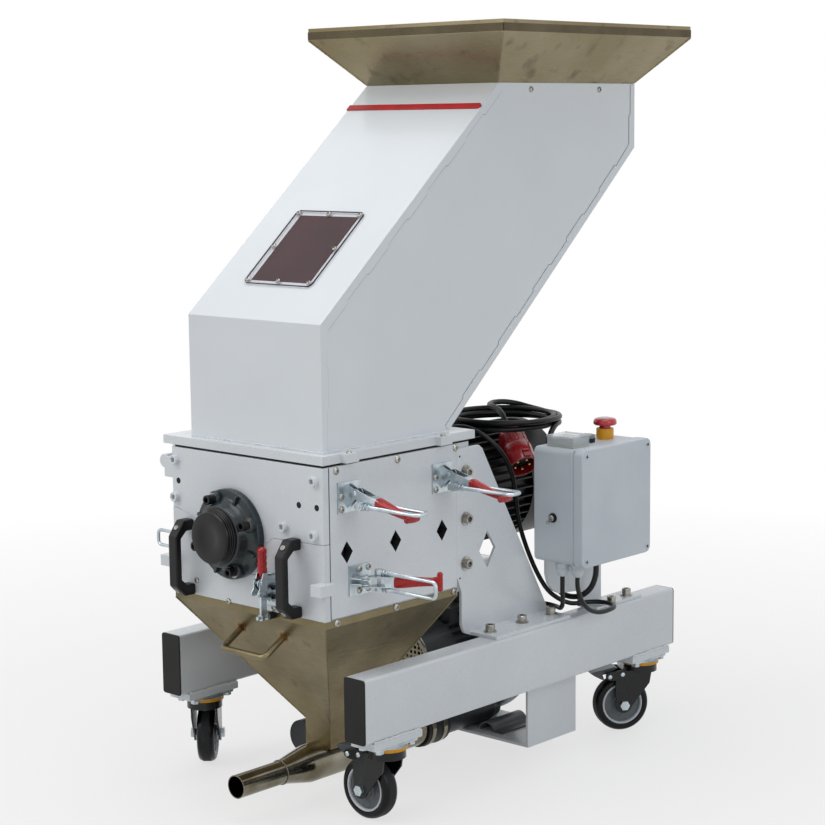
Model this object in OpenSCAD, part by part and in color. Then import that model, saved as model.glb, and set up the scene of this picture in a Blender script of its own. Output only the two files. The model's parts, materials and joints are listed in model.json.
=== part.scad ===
// Beside-the-press plastic granulator on casters: a slanted feed hopper over a
// cutting chamber, a collecting funnel below it, a conveying blower and a
// switch box, all carried by two base beams.
// Frame: X to the right seen from the front, Y to the back, Z up, origin on
// the floor at the middle of the machine. All sizes are in millimetres.

/* [Base] */
// Length of each base beam
beam_len = 808; // [760:1:900]
// Width of a beam
beam_w = 44; // [40:1:50]
// Height of a beam
beam_h = 104; // [90:1:120]
// Wall thickness of a beam
beam_wall = 3; // [2:0.5:4]
// Corner radius of a beam
beam_r = 5; // [2:0.5:8]
// Width over both beams
frame_w = 472; // [464:1:500]
// Distance of the beams' front ends before the machine's middle
beam_front = 388; // [370:1:400]
// Thickness of a beam's end cap
cap_t = 3; // [2:0.5:6]

/* [Casters] */
// Diameter of a caster wheel
wheel_d = 100; // [90:1:104]
// Width of a caster wheel
wheel_w = 32; // [28:1:36]
// Height of a caster from the floor to its pad
caster_h = 132; // [128:1:150]
// Distance of a wheel's axle from its swivel axis
caster_trail = 38; // [30:1:42]
// Thickness of the pad between a caster and its beam
pad_t = 12; // [8:1:16]
// Length of a pad along its beam
pad_len = 111; // [100:1:120]
// Width of a pad
pad_w = 50; // [46:1:60]
// Distance from a beam's end to the middle of its pad
pad_inset = 70; // [60:1:90]

/* [Cutting chamber] */
// Outer width of the chamber
chamber_w = 348; // [330:1:360]
// Height of the chamber's plates
chamber_h = 249; // [240:1:270]
// Height of the chamber's underside above the floor
chamber_z = 324; // [310:1:340]
// Distance of the front plate's face before the machine's middle
chamber_front = 410; // [400:1:415]
// Thickness of the front and side plates
plate_t = 13; // [10:1:16]
// Length of the side plates
side_len = 294; // [280:1:300]
// Thickness of the rear block that the motor bolts to
rear_t = 38; // [30:1:45]
// Height of the joint between the upper front plate and the lower door
door_split = 454; // [440:1:470]
// Gap round the lower door
door_gap = 0.3; // [0.2:0.1:1]
// Distance of the rotor axis left of the machine's middle
rotor_off = 31; // [20:1:34]
// Height of the rotor axis above the floor
rotor_z = 447; // [440:1:455]
// Radius of the rotor's cutting circle
rotor_r = 84; // [70:1:88]
// Number of claw discs on the rotor
claw_discs = 7; // [5:1:9]

/* [Hopper] */
// Thickness of the base plate under the hopper
lid_t = 14; // [10:1:18]
// Thickness of the gasket under the base plate
gasket_t = 4; // [3:0.5:6]
// Distance that the base plate stands out to the left of the chamber
lid_over = 20; // [16:1:26]
// Width of the hopper's body
hopper_w = 299; // [280:1:310]
// Sheet thickness of the hopper
sheet_t = 3; // [2:0.5:4]
// Depth of the hopper's foot from front to back
foot_len = 290; // [270:1:295]
// Height of the upright part of the hopper's front
front_h = 198.5; // [180:0.5:220]
// Height of the hopper from its foot to its top edge
hopper_h = 564; // [520:1:600]
// Angle of the slanted front above the horizontal
slope = 40.8; // [38:0.1:45]
// Depth of the hopper's mouth from front to back
mouth_len = 373.5; // [350:0.5:400]
// Height of the upright part of the hopper's back below the mouth
back_h = 112.5; // [100:0.5:130]
// Height of the flared rim above the hopper
flare_h = 98.5; // [80:0.5:110]
// Height of the folded band at the top of the flare
band_h = 20; // [15:1:25]
// Distance that the flare stands out over the hopper all round
flare_out = 71; // [60:1:80]

/* [Funnel and pipes] */
// Height of the funnel's upright collar
collar_h = 13; // [10:1:16]
// Side of the funnel's square neck
neck_w = 57; // [50:1:60]
// Distance of the pipe's axis right of the machine's middle
pipe_x = 38; // [32:1:44]
// Height of the pipe's axis above the floor
pipe_z = 60; // [58:1:66]
// Outer diameter of the wide pipe
pipe_d = 62; // [58:1:64]
// Outer diameter of the outlet
outlet_d = 38; // [34:1:42]

/* [Switch box] */
// Width of the box along the machine
box_len = 188; // [170:1:200]
// Height of the box
box_h = 196; // [180:1:210]
// Depth of the box's tray
box_depth = 85; // [75:1:90]
// Thickness of the box's cover
cover_t = 20; // [16:1:24]

/* [Latches] */
// Length of a latch lever from its pivot to the end of its grip
lever_len = 120; // [110:1:130]
// Diameter of a latch's bent rod
rod_d = 6; // [5:0.5:7]
// Distance between the two legs of the bent rod, centre to centre
rod_gap = 26; // [25:0.5:30]

/* [Hidden] */
$fn = 48;
fit = 0.3;                    // seat gap between pieces that only rest on each other
pin_gap = 0.06;               // radial gap of a pin in its eye

// Base
beam_x = frame_w / 2 - beam_w / 2;                 // centre of a beam
beam_z0 = caster_h + pad_t;
beam_z1 = beam_z0 + beam_h;
beam_y0 = -beam_front;
beam_y1 = beam_y0 + beam_len;
pad_y = [beam_y0 + pad_inset, beam_y1 - pad_inset];
wheel_r = wheel_d / 2;
axle_r = 6;

// Chamber
side_x = chamber_w / 2;                            // outer face of a side plate
face_y = -chamber_front;                           // front face of the front plate
side_y0 = face_y + plate_t;
side_y1 = side_y0 + side_len;
rear_y1 = side_y1 + rear_t;
chamber_z1 = chamber_z + chamber_h;
rotor_x = -rotor_off;

// Hopper
lid_z0 = chamber_z1 + gasket_t;
lid_z1 = lid_z0 + lid_t;
hopper_x = 4;                                      // the hopper's middle
foot_y0 = face_y + 20;
foot_y1 = foot_y0 + foot_len;
bend_z = lid_z1 + front_h;                         // where the front starts to slant
mouth_z = lid_z1 + hopper_h;
mouth_y0 = foot_y0 + (hopper_h - front_h) / tan(slope);
mouth_y1 = mouth_y0 + mouth_len;
rim_z = mouth_z + flare_h;

// Funnel
neck_y0 = -296;
neck_y1 = neck_y0 + 46;
neck_z = 127;
pipe_r = pipe_d / 2;

// Switch box
box_x0 = 193;
box_y0 = 74;
box_z0 = 353;
box_x1 = box_x0 + box_depth;
box_z1 = box_z0 + box_h;

// ---------- helpers ----------

// A block between two X, two Y and two Z values
module block(x, y, z)
    translate([x[0], y[0], z[0]])
        cube([x[1] - x[0], y[1] - y[0], z[1] - z[0]]);

// A rectangle with round corners, centred
module round_rect(w, h, r) {
    square([w - 2 * r, h], center = true);
    square([w, h - 2 * r], center = true);
    for (i = [-1, 1], j = [-1, 1])
        translate([i * (w / 2 - r), j * (h / 2 - r)]) circle(r);
}

// Stands a shape drawn in X and Z along Y, from y0 to y1
module along_y(y0, y1)
    translate([0, y1, 0]) rotate([90, 0, 0]) linear_extrude(y1 - y0) children();

// Stands a shape drawn in Y and Z along X, from x0 to x1
module along_x(x0, x1)
    translate([x0, 0, 0]) rotate([90, 0, 90]) linear_extrude(x1 - x0) children();

// Points of a four-sided frustum between two rectangles [x0, x1, y0, y1] at z0 and z1
function frustum(a, z0, b, z1) = [
    [a[0], a[2], z0], [a[1], a[2], z0], [a[1], a[3], z0], [a[0], a[3], z0],
    [b[0], b[2], z1], [b[1], b[2], z1], [b[1], b[3], z1], [b[0], b[3], z1]
];
module frustum_solid(a, z0, b, z1)
    polyhedron(frustum(a, z0, b, z1),
               [[0, 1, 2, 3], [4, 5, 1, 0], [5, 6, 2, 1], [6, 7, 3, 2], [7, 4, 0, 3],
                [7, 6, 5, 4]]);
function grow(a, d) = [a[0] - d, a[1] + d, a[2] - d, a[3] + d];

// A round tube swept along points: one polyhedron with rings of n corners
function unit(v) = v / norm(v);
function dir_at(p, i) =
    i == 0 ? unit(p[1] - p[0]) :
    i == len(p) - 1 ? unit(p[i] - p[i - 1]) : unit(p[i + 1] - p[i - 1]);
function side_of(d) = abs(d[2]) < 0.9 ? unit(cross([0, 0, 1], d)) : unit(cross([0, 1, 0], d));
module sweep(p, d, n = 8) {
    rings = [for (i = [0:len(p) - 1])
        let (t = dir_at(p, i), a = side_of(t), b = cross(t, a))
        for (k = [0:n - 1])
            p[i] + d / 2 * (a * cos(360 * k / n) + b * sin(360 * k / n))];
    last = (len(p) - 1) * n;
    polyhedron(rings, concat(
        [[for (k = [0:n - 1]) k]],
        [for (i = [0:len(p) - 2], k = [0:n - 1])
            [i * n + k, (i + 1) * n + k, (i + 1) * n + (k + 1) % n, i * n + (k + 1) % n]],
        [[for (k = [n - 1:-1:0]) last + k]]), convexity = 6);
}
// A smooth curve through hand-set points, m steps between two of them
function curve(p, m = 4) = concat([for (i = [0:len(p) - 2], j = [0:m - 1])
    let (t = j / m, a = p[max(i - 1, 0)], b = p[i], c = p[i + 1],
         e = p[min(i + 2, len(p) - 1)])
    0.5 * (2 * b + (c - a) * t + (2 * a - 5 * b + 4 * c - e) * t * t
           + (3 * b - a - 3 * c + e) * t * t * t)], [p[len(p) - 1]]);

// ---------- base ----------

module base_beams() color("white")
    for (s = [-1, 1]) translate([s * beam_x, 0, 0])
        along_y(beam_y0, beam_y1) translate([0, beam_z0 + beam_h / 2]) difference() {
            round_rect(beam_w, beam_h, beam_r);
            round_rect(beam_w - 2 * beam_wall, beam_h - 2 * beam_wall, beam_r - beam_wall / 2);
        }

module beam_end_caps() color("#222222")
    for (s = [-1, 1], e = [0, 1]) translate([s * beam_x, 0, beam_z0 + beam_h / 2])
        along_y(e ? beam_y1 : beam_y0 - cap_t, e ? beam_y1 + cap_t : beam_y0)
            round_rect(beam_w, beam_h, beam_r);

module at_casters() for (s = [-1, 1], y = pad_y) translate([s * beam_x, y, 0]) children();

module caster_pads() color("white") at_casters()
    block([-pad_w / 2, pad_w / 2], [-pad_len / 2, pad_len / 2], [caster_h, beam_z0]);

top_t = 4;                     // caster top plate
ring_h = 6;                    // swivel ring below it
fork_z1 = caster_h - top_t - ring_h - fit;         // top of a fork
kingpin_r = 6;
module caster_tops() color("#d9a400") at_casters() {
    block([-24, 24], [-45, 45], [caster_h - top_t, caster_h]);
    translate([0, 0, caster_h - top_t - ring_h]) cylinder(r = 33, h = ring_h);
    translate([0, 0, fork_z1 - 14]) cylinder(r = kingpin_r, h = 20);
    translate([0, 0, fork_z1 - 14 - 6]) cylinder(r = 10, h = 6);
}

// A fork drawn with its swivel axis at the origin and its axle behind it on +X
fork_gap = 4;                  // between a wheel's side and its fork
cheek_t = 3;
module fork() {
    difference() {
        union() {
            translate([0, 0, fork_z1 - 14 + fit]) cylinder(r = 30, h = 14 - fit);
            block([0, caster_trail], [-wheel_w / 2 - fork_gap - cheek_t, wheel_w / 2 + fork_gap
                + cheek_t], [fork_z1 - 14 + fit, fork_z1 - 9]);
        }
        translate([0, 0, 0]) cylinder(r = kingpin_r + pin_gap, h = 200);
    }
    for (s = [-1, 1]) translate([0, s * (wheel_w / 2 + fork_gap + cheek_t / 2), 0])
        along_y(-cheek_t / 2, cheek_t / 2) {
            polygon([[-14, wheel_d + 10], [-10, 88], [caster_trail - 14, wheel_r - 4],
                     [caster_trail + 14, wheel_r - 4], [caster_trail + 16, 92],
                     [caster_trail + 6, wheel_d + 10]]);
            translate([caster_trail, wheel_r]) circle(14.5);
        }
    along = wheel_w / 2 + fork_gap + cheek_t;
    translate([caster_trail, 0, wheel_r]) rotate([90, 0, 0])
        cylinder(r = axle_r, h = 2 * along + 4, center = true);
    for (s = [-1, 1]) translate([caster_trail, s * (along + 3), wheel_r]) rotate([90, 0, 0])
        cylinder(r = 9, h = 6, center = true, $fn = 6);
}
module wheel() translate([caster_trail, 0, wheel_r]) rotate([90, 0, 0])
    translate([0, 0, -wheel_w / 2]) rotate_extrude($fn = 72)
        polygon([[axle_r + pin_gap, 0], [14, 0], [16, 6], [38, 6], [40, 2], [46, 2], [wheel_r, 7],
                 [wheel_r, wheel_w - 7], [46, wheel_w - 2], [40, wheel_w - 2],
                 [38, wheel_w - 6], [16, wheel_w - 6], [14, wheel_w],
                 [axle_r + pin_gap, wheel_w]]);
// Swivel angles: the way each caster trails, seen from above
trail_fr = 180;
trail_fl = 132;
trail_rr = 236;
trail_rl = 60;
module at_caster(s, end, trail) translate([s * beam_x, pad_y[end], 0]) rotate(trail) children();
module fork_front_right() color("#1a1a1a") at_caster(1, 0, trail_fr) fork();
module fork_front_left() color("#1a1a1a") at_caster(-1, 0, trail_fl) fork();
module fork_rear_right() color("#1a1a1a") at_caster(1, 1, trail_rr) fork();
module fork_rear_left() color("#1a1a1a") at_caster(-1, 1, trail_rl) fork();
module wheel_front_right() color("#444444") at_caster(1, 0, trail_fr) wheel();
module wheel_front_left() color("#444444") at_caster(-1, 0, trail_fl) wheel();
module wheel_rear_right() color("#444444") at_caster(1, 1, trail_rr) wheel();
module wheel_rear_left() color("#444444") at_caster(-1, 1, trail_rl) wheel();

// ---------- brackets ----------

bracket_t = 6;
flange_y = [side_y1 + 11, side_y1 + 228];
module side_brackets() color("white") for (s = [-1, 1]) mirror([s < 0 ? 1 : 0, 0, 0]) {
    difference() {
        along_x(side_x - bracket_t, side_x)
            polygon([[side_y1 + fit, 564], [side_y1 + 58, 564], [side_y1 + 66, 558],
                     [flange_y[1] + 10, beam_z1 + bracket_t], [flange_y[1] + 10, beam_z1],
                     [flange_y[0] + 20, beam_z1], [flange_y[0] + 6, beam_z1 + 6],
                     [flange_y[0], beam_z1 + 20], [flange_y[0], chamber_z],
                     [side_y1 + fit, chamber_z + 26]]);
        along_x(side_x - 2 * bracket_t, side_x + 1)
            polygon([[-25.5, 353.5], [-4.8, 385.5], [-25.5, 417.5], [-46.2, 385.5]]);
    }
    block([side_x - fit, frame_w / 2 - 4], [flange_y[0] + 20, flange_y[1]],
          [beam_z1, beam_z1 + bracket_t]);
}

cradle_t = 5;
cradle_z = 26;
cradle_y = [57, 190];
cradle_x = frame_w / 2 - beam_w;
module blower_cradle() color("white") {
    block([-cradle_x, cradle_x], cradle_y, [cradle_z, cradle_z + cradle_t]);
    for (s = [-1, 1]) translate([s * (cradle_x - cradle_t / 2), 0, 0])
        block([-cradle_t / 2, cradle_t / 2], cradle_y, [cradle_z, beam_z1 - 40]);
}

// ---------- cutting chamber ----------

// Outline of the front plate that the door leaves: its lower edge runs round the bearing
bearing_r = 73;
module split_line(gap)
    polygon([[-side_x, door_split + 20 - gap], [-150, door_split + 16 - gap],
             [rotor_x - 88, door_split + 6 - gap], [rotor_x - 82, door_split - 10 - gap],
             [rotor_x - 60, rotor_z - 60 - gap], [rotor_x + 60, rotor_z - 60 - gap],
             [rotor_x + 74, door_split - 17 - gap], [rotor_x + 92, door_split - 3 - gap],
             [side_x, door_split - gap], [side_x, chamber_z1 + 50], [-side_x, chamber_z1 + 50]]);
door_z0 = chamber_z + 9;
module front_plate() color("white") along_y(face_y, side_y0) difference() {
    intersection() {
        translate([-side_x, chamber_z]) square([chamber_w, chamber_h]);
        split_line(0);
    }
    translate([rotor_x, rotor_z]) circle(32);
}
catch_z = 386;                 // height of the lower latches' catches on the door's edges
module front_door() color("white") {
    along_y(face_y, side_y0) difference() {
        translate([-side_x, door_z0]) square([chamber_w, chamber_z1 - door_z0]);
        split_line(door_gap);
    }
    for (s = [-1, 1]) mirror([s < 0 ? 1 : 0, 0, 0])
        block([side_x - 11, side_x + 12], [face_y - 20, face_y + 12], [catch_z - 9, catch_z + 9]);
}

rebate = 2;                    // sheet of the funnel's collar, let into the side plates
module side_plate() difference() {
    block([side_x - plate_t, side_x], [side_y0, side_y1], [chamber_z, chamber_z1]);
    block([side_x - rebate, side_x + 1], [side_y0 - 1, side_y1 + 1],
          [chamber_z - 1, chamber_z + 11]);
    block([side_x - plate_t - 1, side_x + 1], [side_y1 - rebate - 0.3, side_y1 + 1],
          [chamber_z - 1, chamber_z + 11]);
    for (y = [-360, -249.5, -139]) along_x(side_x - plate_t - 1, side_x + 1)
        polygon([[y, 418.5], [y + 12.8, 435.7], [y, 452.9], [y - 12.8, 435.7]]);
}
module right_side_plate() color("white") side_plate();
module left_side_plate() color("white") mirror([1, 0, 0]) side_plate();

module rear_block() color("white") difference() {
    block([-side_x + bracket_t, side_x - bracket_t], [side_y1, rear_y1], [chamber_z, chamber_z1]);
    translate([rotor_x, 0, rotor_z]) rotate([-90, 0, 0]) translate([0, 0, side_y1 - 1])
        cylinder(r = 32, h = rear_t + 2);
}

inner_x = 135;                 // inside of the cutting chamber
module knife_beds() color("#9a9a9a") for (s = [-1, 1])
    along_y(side_y0 + fit, side_y1 - 3) polygon([
        [s * (side_x - plate_t - 4), chamber_z + 4], [s * inner_x, chamber_z + 4],
        [s > 0 ? rotor_x + rotor_r + 10 : -inner_x, rotor_z - 20],
        [s > 0 ? rotor_x + rotor_r + 2 : -inner_x, rotor_z],
        [s > 0 ? rotor_x + rotor_r + 6 : -inner_x, rotor_z + 6],
        [s * inner_x, rotor_z + 70], [s * inner_x, chamber_z1],
        [s * (side_x - plate_t - 4), chamber_z1]]);

shaft_r = 22;
claw_w = 26;
module rotor() color("#8a8a8a") {
    translate([rotor_x, 0, rotor_z]) rotate([-90, 0, 0]) {
        translate([0, 0, face_y - 20]) cylinder(r = shaft_r, h = rear_y1 + 10 - face_y + 20);
        translate([0, 0, side_y0 + 6]) cylinder(r = 48, h = side_len - 12);
        for (i = [0:claw_discs - 1])
            translate([0, 0, side_y0 + 22 + i * (side_len - 44 - claw_w) / (claw_discs - 1)])
                rotate(i * 20) linear_extrude(claw_w) for (k = [0:2]) rotate(k * 120)
                    polygon([[0, 0], [30, -30], [rotor_r * cos(10), -rotor_r * sin(10)],
                             [rotor_r, 0], [48, 36], [20, 42]]);
    }
}

module front_bearing() color("#3c4a4a") translate([rotor_x, face_y, rotor_z]) rotate([90, 0, 0])
    difference() {
        union() {
            cylinder(r = bearing_r, h = 12, $fn = 96);
            cylinder(r1 = 56, r2 = 50, h = 34);
            for (a = [45:90:315]) rotate(a) translate([60.5, 0, 0]) cylinder(r = 13, h = 20);
        }
        translate([0, 0, -1]) cylinder(r = shaft_r + pin_gap, h = 60);
    }
module bearing_cap() color("#141414") translate([rotor_x, face_y - 34, rotor_z])
    rotate([90, 0, 0]) rotate_extrude($fn = 96)
        polygon([[0, 0], [46, 0], [46, 4], [42, 8], [42, 16], [38, 18], [0, 18]]);

// ---------- hopper ----------

lid_hole_y = [foot_y0 + sheet_t + 2, side_y1 - 5];
module lid_gasket() color("#111111") difference() {
    block([-side_x + 4, side_x - 4], [face_y + 4, rear_y1 - 4], [chamber_z1, lid_z0]);
    block([-inner_x, inner_x], lid_hole_y, [0, 999]);
}
hinge_x = -side_x - 21;
hinge_z = lid_z0 - 30;
hinge_y = [face_y + 42, side_y1 - 42];
hinge_r = 11;
pin_r = 5;
module at_hinges() for (y = hinge_y) translate([hinge_x, y, hinge_z]) children();
module hinge_blocks() color("white") at_hinges() {
    for (i = [-1, 1]) translate([0, i * 27, 0]) {
        block([0, -side_x - hinge_x], [-14, 14], [-26, 8]);
        rotate([90, 0, 0]) cylinder(r = hinge_r, h = 28, center = true);
    }
    rotate([90, 0, 0]) cylinder(r = pin_r, h = 40, center = true);
}
module lid_knuckles() at_hinges() difference() {
    union() {
        rotate([90, 0, 0]) cylinder(r = hinge_r, h = 25, center = true);
        block([-hinge_r, 6], [-12.5, 12.5], [0, lid_z0 - hinge_z]);
    }
    rotate([90, 0, 0]) cylinder(r = pin_r + pin_gap, h = 40, center = true);
}
tab_y = [-356, -139];          // where the upper latches catch the base plate
module lid_plate() color("white") {
    difference() {
        union() {
            block([-side_x - lid_over, side_x], [face_y, rear_y1 + 9], [lid_z0, lid_z1]);
            for (y = tab_y) block([side_x - 1, side_x + 12], [y - 14, y + 14], [lid_z0, lid_z1]);
        }
        block([-inner_x, inner_x], lid_hole_y, [0, 999]);
    }
    lid_knuckles();
}

// Side outline of the hopper in Y and Z, drawn in by d all round but for the foot and mouth
bend_in = tan((90 - slope) / 2);                   // how far the front bend moves per d drawn in
slant_in = 1 / sin(slope);                         // the same for the slanted front at the mouth
module hopper_side(d, open) polygon([
    [foot_y0 + d, lid_z1 - open], [foot_y0 + d, bend_z - d * bend_in],
    [mouth_y0 + d * slant_in + open / tan(slope), mouth_z + open], [mouth_y1 - d, mouth_z + open],
    [mouth_y1 - d, mouth_z - back_h + d * bend_in], [foot_y1 - d, lid_z1 - open]
]);
module hopper_body() color("white") difference() {
    along_x(hopper_x - hopper_w / 2, hopper_x + hopper_w / 2) hopper_side(0, 0);
    along_x(hopper_x - hopper_w / 2 + sheet_t, hopper_x + hopper_w / 2 - sheet_t)
        hopper_side(sheet_t, 1);
    on_slope() block([-64, 68], [84, 234], [-20, 20]);
}
// The slanted front's own frame: Y up the slope, Z out of it
module on_slope() translate([0, foot_y0, bend_z]) rotate([slope, 0, 0]) children();

flare_t = 2;                   // sheet of the flare
module hopper_flare() color("#b8a878") {
    base = [hopper_x - hopper_w / 2, hopper_x + hopper_w / 2, mouth_y0, mouth_y1];
    rim = grow(base, flare_out);
    inner = grow(base, -sheet_t - fit);
    difference() {
        union() {
            frustum_solid(base, mouth_z, rim, rim_z - band_h);
            block([rim[0], rim[1]], [rim[2], rim[3]], [rim_z - band_h, rim_z]);
        }
        frustum_solid(grow(base, -flare_t - sheet_t), mouth_z - 0.01, grow(rim, -flare_t - 1),
                      rim_z - band_h + 0.01);
        block([rim[0] + flare_t, rim[1] - flare_t], [rim[2] + flare_t, rim[3] - flare_t],
              [rim_z - band_h, rim_z + 1]);
    }
    difference() {
        block([inner[0], inner[1]], [inner[2] + 4, inner[3]], [mouth_z - 20, mouth_z + 4]);
        block([inner[0] + flare_t, inner[1] - flare_t], [inner[2] + 4 + flare_t, inner[3] - flare_t],
              [0, 9999]);
    }
}
module window_pane() color([0.5, 0.2, 0.2, 0.6]) on_slope()
    block([-75, 78], [75, 243], [0, 4]);
module red_curtain() color("#b01818") on_slope()
    block([-147, 156], [494, 506], [0, 3]);

// ---------- funnel and pipes ----------

module funnel() color("#a89870") {
    top = [-side_x, side_x, face_y, side_y1];
    bottom = [pipe_x - neck_w / 2, pipe_x + neck_w / 2, neck_y0, neck_y1];
    z0 = chamber_z - 2;
    difference() {
        union() {
            block([top[0], top[1]], [top[2], top[3]], [z0, chamber_z + 9]);
            frustum_solid(bottom, neck_z, top, z0);
            block([bottom[0], bottom[1]], [bottom[2], bottom[3]], [pipe_z + 22, neck_z]);
        }
        block([top[0] + 2, top[1] - 2], [top[2] + 2, top[3] - 2], [z0, chamber_z + 99]);
        frustum_solid(grow(bottom, -2), neck_z - 0.01, grow(top, -2.01), z0 + 0.01);
        block([bottom[0] + 2, bottom[1] - 2], [bottom[2] + 2, bottom[3] - 2], [0, neck_z]);
        pipe_shape(pipe_r);
    }
    funnel_bar();
}
// The bent bar that the funnel is lifted out by, square to its slanted front
bar_d = 10;
bar_out = 42;
bar_bend = 9;
module funnel_bar() translate([0, -390, 289]) rotate([30.3, 0, 0]) {
    for (s = [-1, 1]) translate([12.5 + s * 48.5, 0, 0]) {
        rotate([90, 0, 0]) translate([0, 0, -3]) cylinder(d = bar_d, h = bar_out + 3);
        translate([-s * bar_bend, -bar_out, 0]) mirror([s < 0 ? 1 : 0, 0, 0]) rotate(-90)
            rotate_extrude(angle = 90) translate([bar_bend, 0]) circle(d = bar_d);
    }
    translate([12.5, -bar_out - bar_bend, 0]) rotate([0, 90, 0])
        cylinder(d = bar_d, h = 2 * (48.5 - bar_bend), center = true);
}
cone_y = [-383.6, -325];
module pipe_shape(r) translate([pipe_x, 0, pipe_z]) rotate([-90, 0, 0]) {
    translate([0, 0, cone_y[1]]) cylinder(r = r, h = -40 - cone_y[1]);
    translate([0, 0, cone_y[0]]) cylinder(r1 = r - (pipe_d - outlet_d) / 2, r2 = r,
        h = cone_y[1] - cone_y[0]);
    translate([0, 0, -479]) cylinder(r = r - (pipe_d - outlet_d) / 2, h = cone_y[0] + 479);
}
module discharge_pipe() color("#9a9080") difference() {
    pipe_shape(pipe_r);
    pipe_shape(pipe_r - 1.5);
    translate([pipe_x, 0, pipe_z]) rotate([-90, 0, 0]) {
        translate([0, 0, -480]) cylinder(r = outlet_d / 2 - 1.5, h = 10);
        translate([0, 0, -60]) cylinder(r = pipe_r - 1.5, h = 30);
    }
    block([pipe_x - neck_w / 2 + 6, pipe_x + neck_w / 2 - 6], [neck_y0 + 4, neck_y1 - 4],
          [pipe_z, pipe_z + 60]);
}
module hose_sleeve() color("#161616") translate([pipe_x, 0, pipe_z]) rotate([-90, 0, 0])
    translate([0, 0, -62]) difference() {
        cylinder(r = pipe_r + 4, h = 55);
        translate([0, 0, -1]) cylinder(r = pipe_r, h = 57);
    }
// The side-channel blower: its two ports point forwards under its motor, the right one
// blows into the pipe, the left one draws air through a silencer
port_x = [pipe_x, pipe_x - 112];
blower_x = (port_x[0] + port_x[1]) / 2;
blower_z = 163;
casing_y = [118, 186];
casing_r = 130;
cowl_y = -28;                  // front end of the blower motor's cowl
cowl_r = 60;
module air_pipes() color("#3a3f44") {
    translate([port_x[0], 0, pipe_z]) along_y(-40 + fit, casing_y[0] - fit) tube_ring(28, 25.5);
    translate([port_x[1], 0, pipe_z]) {
        along_y(-222, casing_y[0] - fit) tube_ring(28, 25.5);
        along_y(-225, -222) circle(28);
    }
}
module tube_ring(r_out, r_in) difference() {
    circle(r_out);
    circle(r_in);
}
module blower_guard() color("#b8b098") translate([blower_x, 0, blower_z])
    along_y(cowl_y, cowl_y + 2) circle(cowl_r - 3);
module blower_motor() color("#55595c") translate([blower_x, 0, blower_z]) {
    difference() {
        along_y(cowl_y, 50) circle(cowl_r);
        along_y(cowl_y - 1, 40) circle(cowl_r - 3);
    }
    along_y(cowl_y + 2, cowl_y + 5) circle(20);
    along_y(cowl_y + 4, 44) circle(14);
    along_y(44, casing_y[0] - fit) {
        circle(cowl_r - 9);
        for (a = [0:15:345]) rotate(a) translate([cowl_r - 12, -1.5]) square([12, 3]);
    }
    // Terminal box
    block([-30, 30], [62, 108], [46, 78]);
}
module blower_casing() color("#565b5e") {
    translate([blower_x, 0, blower_z]) {
        along_y(casing_y[0], casing_y[1]) circle(casing_r - 12);
        along_y(casing_y[0] + 12, casing_y[1] - 12) circle(casing_r);
        along_y(casing_y[1], casing_y[1] + 14) circle(60);
    }
    for (x = port_x) translate([x, 0, pipe_z]) along_y(casing_y[0] - 20, casing_y[0] + 20)
        circle(25.5 - fit);
    for (s = [-1, 1]) casing_foot(s);
}
// A foot of the casing: an arched sheet that is bolted to the cradle
module casing_foot(s) translate([blower_x + s * 102, 0, cradle_z + cradle_t])
    along_y(75, casing_y[1] - 20) difference() {
        union() {
            circle(17);
            translate([s > 0 ? 0 : -36, 0]) square([36, 3]);
        }
        circle(14);
        translate([-40, -60]) square([80, 60]);
    }

// ---------- main motor ----------

motor_len = 380;
cowl_rear_r = 106;             // radius of the fan cowl
module motor() color("#1c1c1e") {
    translate([rotor_x, rear_y1, rotor_z]) rotate([-90, 0, 0]) difference() {
        union() {
            cylinder(r = 110, h = 16);
            cylinder(r = 94, h = 290);
            translate([0, 0, 14]) cylinder(r = 100, h = 20);
            translate([0, 0, 282]) cylinder(r = cowl_rear_r, h = motor_len - 282 - 14);
            translate([0, 0, motor_len - 14]) cylinder(r1 = cowl_rear_r, r2 = 90, h = 14);
            for (a = [0:9:351]) rotate(a) translate([90, -1.5, 30]) cube([15, 3, 256]);
        }
        translate([0, 0, -1]) cylinder(r = shaft_r + 2, h = 20);
    }
    // Terminal box
    block([rotor_x - 40, rotor_x + 40], [-5, 85], [rotor_z + 88, rotor_z + 125]);
}

// ---------- switch box ----------

module box_bracket() color("white") {
    along_x(box_x0 - 6 - fit, box_x0 - fit)
        polygon([[200, beam_z1], [262, beam_z1], [262, 520], [108, 520], [108, 322], [114, 304],
                 [126, 290], [144, 282], [200, 277]]);
    block([box_x0 - 6 - fit, frame_w / 2 - 4], [200, 330], [beam_z1, beam_z1 + 5]);
}
module switch_box() color("#c9ccd0") translate([box_x0, 0, 0])
    along_x(0, box_depth) translate([box_y0 + box_len / 2, box_z0 + box_h / 2])
        round_rect(box_len, box_h, 10);
module box_cover() color("#c9ccd0") along_x(box_x1, box_x1 + cover_t)
    translate([box_y0 + box_len / 2, box_z0 + box_h / 2]) round_rect(box_len + 4, box_h + 4, 12);
gland_xy = [[240, 92], [265, 101], [225, 205]];
module box_fittings() color("#cfd2d5") {
    for (p = gland_xy) translate([p[0], p[1], box_z0 - 24])
        cylinder(r = 12, h = 24);
    block([208, 264], [90, 135], [box_z1, box_z1 + 16]);
    translate([236, 165, box_z1]) cylinder(r = 14, h = 14);
    translate([236, 215, box_z1]) difference() {
        cylinder(r = 19, h = stop_h);
        translate([0, 0, stop_h - 8]) cylinder(r = 10.5, h = 9);
    }
    translate([234, box_y0, 431]) rotate([90, 0, 0]) cylinder(r = 6, h = 8);
}
stop_h = 20;                   // height of the stop button's base
module stop_button() color("#c01818") translate([236, 215, box_z1 + stop_h]) {
    translate([0, 0, 6]) cylinder(r = 20, h = 14);
    translate([0, 0, -2.5]) cylinder(r = 10, h = 9);
}
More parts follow.
